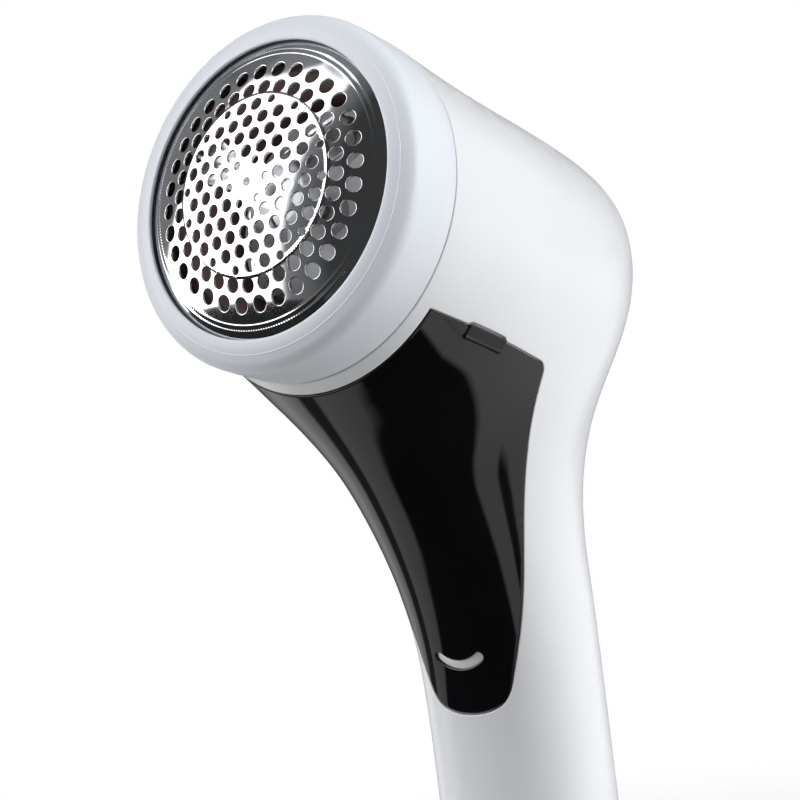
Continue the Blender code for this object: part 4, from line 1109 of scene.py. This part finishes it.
def mixed_shader(tree, factor, one, two):
    made = tree.nodes.new("ShaderNodeMixShader")
    tree.links.new(factor, made.inputs[0])
    tree.links.new(one, made.inputs[1])
    tree.links.new(two, made.inputs[2])
    return made.outputs[0]


def azimuth_of(tree, x, y, middle):
    """Degrees round a place on the middle plane: 0 is the front, 90 is +X."""
    angle = math_node(tree, 'ARCTAN2', x, math_node(tree, 'SUBTRACT', middle, y))
    return times(tree, angle, 180 / math.pi)


# Studio panels round the object: azimuth in degrees (0 is the front, 90 is +X) and brightness.
PANELS = ((-180, 0.10), (-150, 0.05), (-128, 0.05), (-114, 0.045), (-80, 0.045), (-78, 0.74),
          (-29, 0.74), (-26, 0.05), (-10, 0.010), (70, 0.010), (78, 0.46), (84, 0.90),
          (108, 0.90), (120, 0.44), (138, 0.16), (160, 0.10), (180, 0.10))
PANEL_POWER = 4.4
HEIGHTS = ((-45, 0.03), (-25, 1.0), (57, 1.0), (60, 0.02), (90, 0.02))
OVERHEAD = ((57, 0.0), (61, 0.036))
PANEL_SLANT = (-52, 0.56)  # the left panel's top edge drops beyond this azimuth, per degree

# The floor as reflections see it (left and right of the body) and as diffuse light: brightness
# over the azimuth, and for the right side over x.
FLOOR_GLOW = ((-180, 0.50), (-120, 0.78), (-45, 0.74), (-15, 0.25), (10, 0.06), (44, 0.06),
              (72, 0.74), (100, 0.84), (180, 0.58))
FLOOR_LEFT = ((-180, 0.05), (-128, 0.10), (-112, 0.75), (-98, 0.66), (-96, 0.05), (-87, 0.05),
              (-85, 0.60), (0, 0.60))
FLOOR_RIGHT = ((0.0, 0.02), (0.089, 0.02), (0.096, 0.90))
FLOOR_STRIP = ((0.127, 0.0), (0.130, 0.96), (0.143, 0.96), (0.146, 0.0))
FLOOR_MIDDLE = -0.03
LEFT_END = ((-0.012, 1.0), (-0.004, 0.0))  # over x
LEFT_SLANT = 0.24  # where the left side starts: y over x
LEFT_START = ((-0.0535, 0.0), (-0.0490, 1.0))
STRIP_END = ((0.0, 1.0), (0.02, 0.0))  # over y


def make_world():
    """Panels that light the object; the camera itself sees plain white."""
    world = bpy.data.worlds.new("studio")
    world.use_nodes = True
    tree = world.node_tree
    ground = tree.nodes["Background"]
    place = tree.nodes.new("ShaderNodeTexCoord")
    split = tree.nodes.new("ShaderNodeSeparateXYZ")
    tree.links.new(place.outputs["Generated"], split.inputs[0])
    x, y, z = split.outputs
    azimuth = azimuth_of(tree, x, y, 0.0)
    height = times(tree, math_node(tree, 'ARCSINE', z), 180 / math.pi)
    around = link_ramp(tree, azimuth, -180, 180, PANELS)
    beyond = math_node(tree, 'MAXIMUM', math_node(tree, 'SUBTRACT', PANEL_SLANT[0], azimuth), 0.0)
    slanted = math_node(tree, 'ADD', height, times(tree, beyond, PANEL_SLANT[1]))
    level = link_ramp(tree, slanted, -90, 90, HEIGHTS)
    overhead = link_ramp(tree, slanted, -90, 90, OVERHEAD)
    lit = math_node(tree, 'ADD', times(tree, around, level), overhead)
    tint = tree.nodes.new("ShaderNodeMix")
    tint.data_type = 'RGBA'
    tint.blend_type = 'MULTIPLY'
    tint.inputs[0].default_value = 1.0
    tint.inputs[7].default_value = (0.975, 0.985, 1.0, 1.0)
    tree.links.new(lit, tint.inputs[6])
    tree.links.new(tint.outputs[2], ground.inputs["Color"])
    ground.inputs["Strength"].default_value = PANEL_POWER
    plain = tree.nodes.new("ShaderNodeBackground")
    plain.inputs["Color"].default_value = (1.0, 1.0, 1.0, 1.0)
    path = tree.nodes.new("ShaderNodeLightPath")
    seen = mixed_shader(tree, path.outputs["Is Camera Ray"], ground.outputs[0], plain.outputs[0])
    tree.links.new(seen, tree.nodes["World Output"].inputs["Surface"])
    bpy.context.scene.world = world


def faded(tree, place):
    """From zero near the object to one where the sheet ends in white."""
    length = tree.nodes.new("ShaderNodeVectorMath")
    length.operation = 'LENGTH'
    tree.links.new(place.outputs["Object"], length.inputs[0])
    far = tree.nodes.new("ShaderNodeMapRange")
    far.interpolation_type = 'SMOOTHSTEP'
    far.inputs["From Min"].default_value = 0.05
    far.inputs["From Max"].default_value = 0.22
    tree.links.new(length.outputs["Value"], far.inputs["Value"])
    return far.outputs["Result"]


def make_floor():
    """A pale sheet that fades into the white background."""
    bm = bmesh.new()
    bmesh.ops.create_grid(bm, x_segments=4, y_segments=4, size=6.0)
    floor = object_from(bm, "floor")
    floor.location.z = -0.0004
    material, tree, shader = nodes_of("floor_paper")
    tree.links.new(colours(tree, noise(tree, 3.0), (0.86, 0.86, 0.87), (0.88, 0.88, 0.89)),
                   shader.inputs["Base Color"])
    shader.inputs["Roughness"].default_value = 0.7
    place = tree.nodes.new("ShaderNodeTexCoord")
    glow = tree.nodes.new("ShaderNodeEmission")
    fade = mixed_shader(tree, faded(tree, place), shader.outputs[0], glow.outputs[0])
    path = tree.nodes.new("ShaderNodeLightPath")
    split = tree.nodes.new("ShaderNodeSeparateXYZ")
    tree.links.new(place.outputs["Object"], split.inputs[0])
    x, y, _ = split.outputs
    azimuth = azimuth_of(tree, x, y, FLOOR_MIDDLE)
    left = times(tree, link_ramp(tree, azimuth, -180, 180, FLOOR_LEFT),
                 link_ramp(tree, x, -0.1, 0.1, LEFT_END))
    slant = math_node(tree, 'SUBTRACT', y, times(tree, x, LEFT_SLANT))
    left = times(tree, left, link_ramp(tree, slant, -0.1, 0.1, LEFT_START))
    strip = times(tree, link_ramp(tree, x, 0.0, 0.2, FLOOR_STRIP),
                  link_ramp(tree, y, -0.1, 0.1, STRIP_END))
    right = times(tree, link_ramp(tree, x, 0.0, 0.2, FLOOR_RIGHT),
                  math_node(tree, 'SUBTRACT', 1.0, strip))
    glossy = path.outputs["Is Glossy Ray"]
    seen = times(tree, math_node(tree, 'ADD', left, right), glossy)
    spread = times(tree, math_node(tree, 'SUBTRACT', 1.0, glossy),
                   link_ramp(tree, azimuth, -180, 180, FLOOR_GLOW))
    lit = tree.nodes.new("ShaderNodeEmission")
    tree.links.new(math_node(tree, 'ADD', seen, spread), lit.inputs["Strength"])
    result = mixed_shader(tree, path.outputs["Is Camera Ray"], lit.outputs[0], fade)
    tree.links.new(result, tree.nodes["Material Output"].inputs["Surface"])
    floor.data.materials.append(material)


def make_lights():
    """A faint light inside the cutting head, and a soft one above."""
    inner = HEAD_MATRIX @ Vector((0.0, 0.0, 0.0116))
    fill = area_light("chamber_fill", inner, inner - Vector(HEAD_AXIS), (0.034, 0.034), 0.006)
    fill.data.shape = 'DISK'
    fill.visible_camera = False
    area_light("overhead", (0.1, -0.1, 1.3), (0, -0.02, 0.1), (0.9, 0.9), 2.5)


bpy.context.scene.view_settings.view_transform = 'Standard'
make_camera()
make_world()
make_floor()
make_lights()
paint_frame()
make_shells()
make_inner_walls()
make_catches()
make_foil()
make_ring()
make_blade_wings()
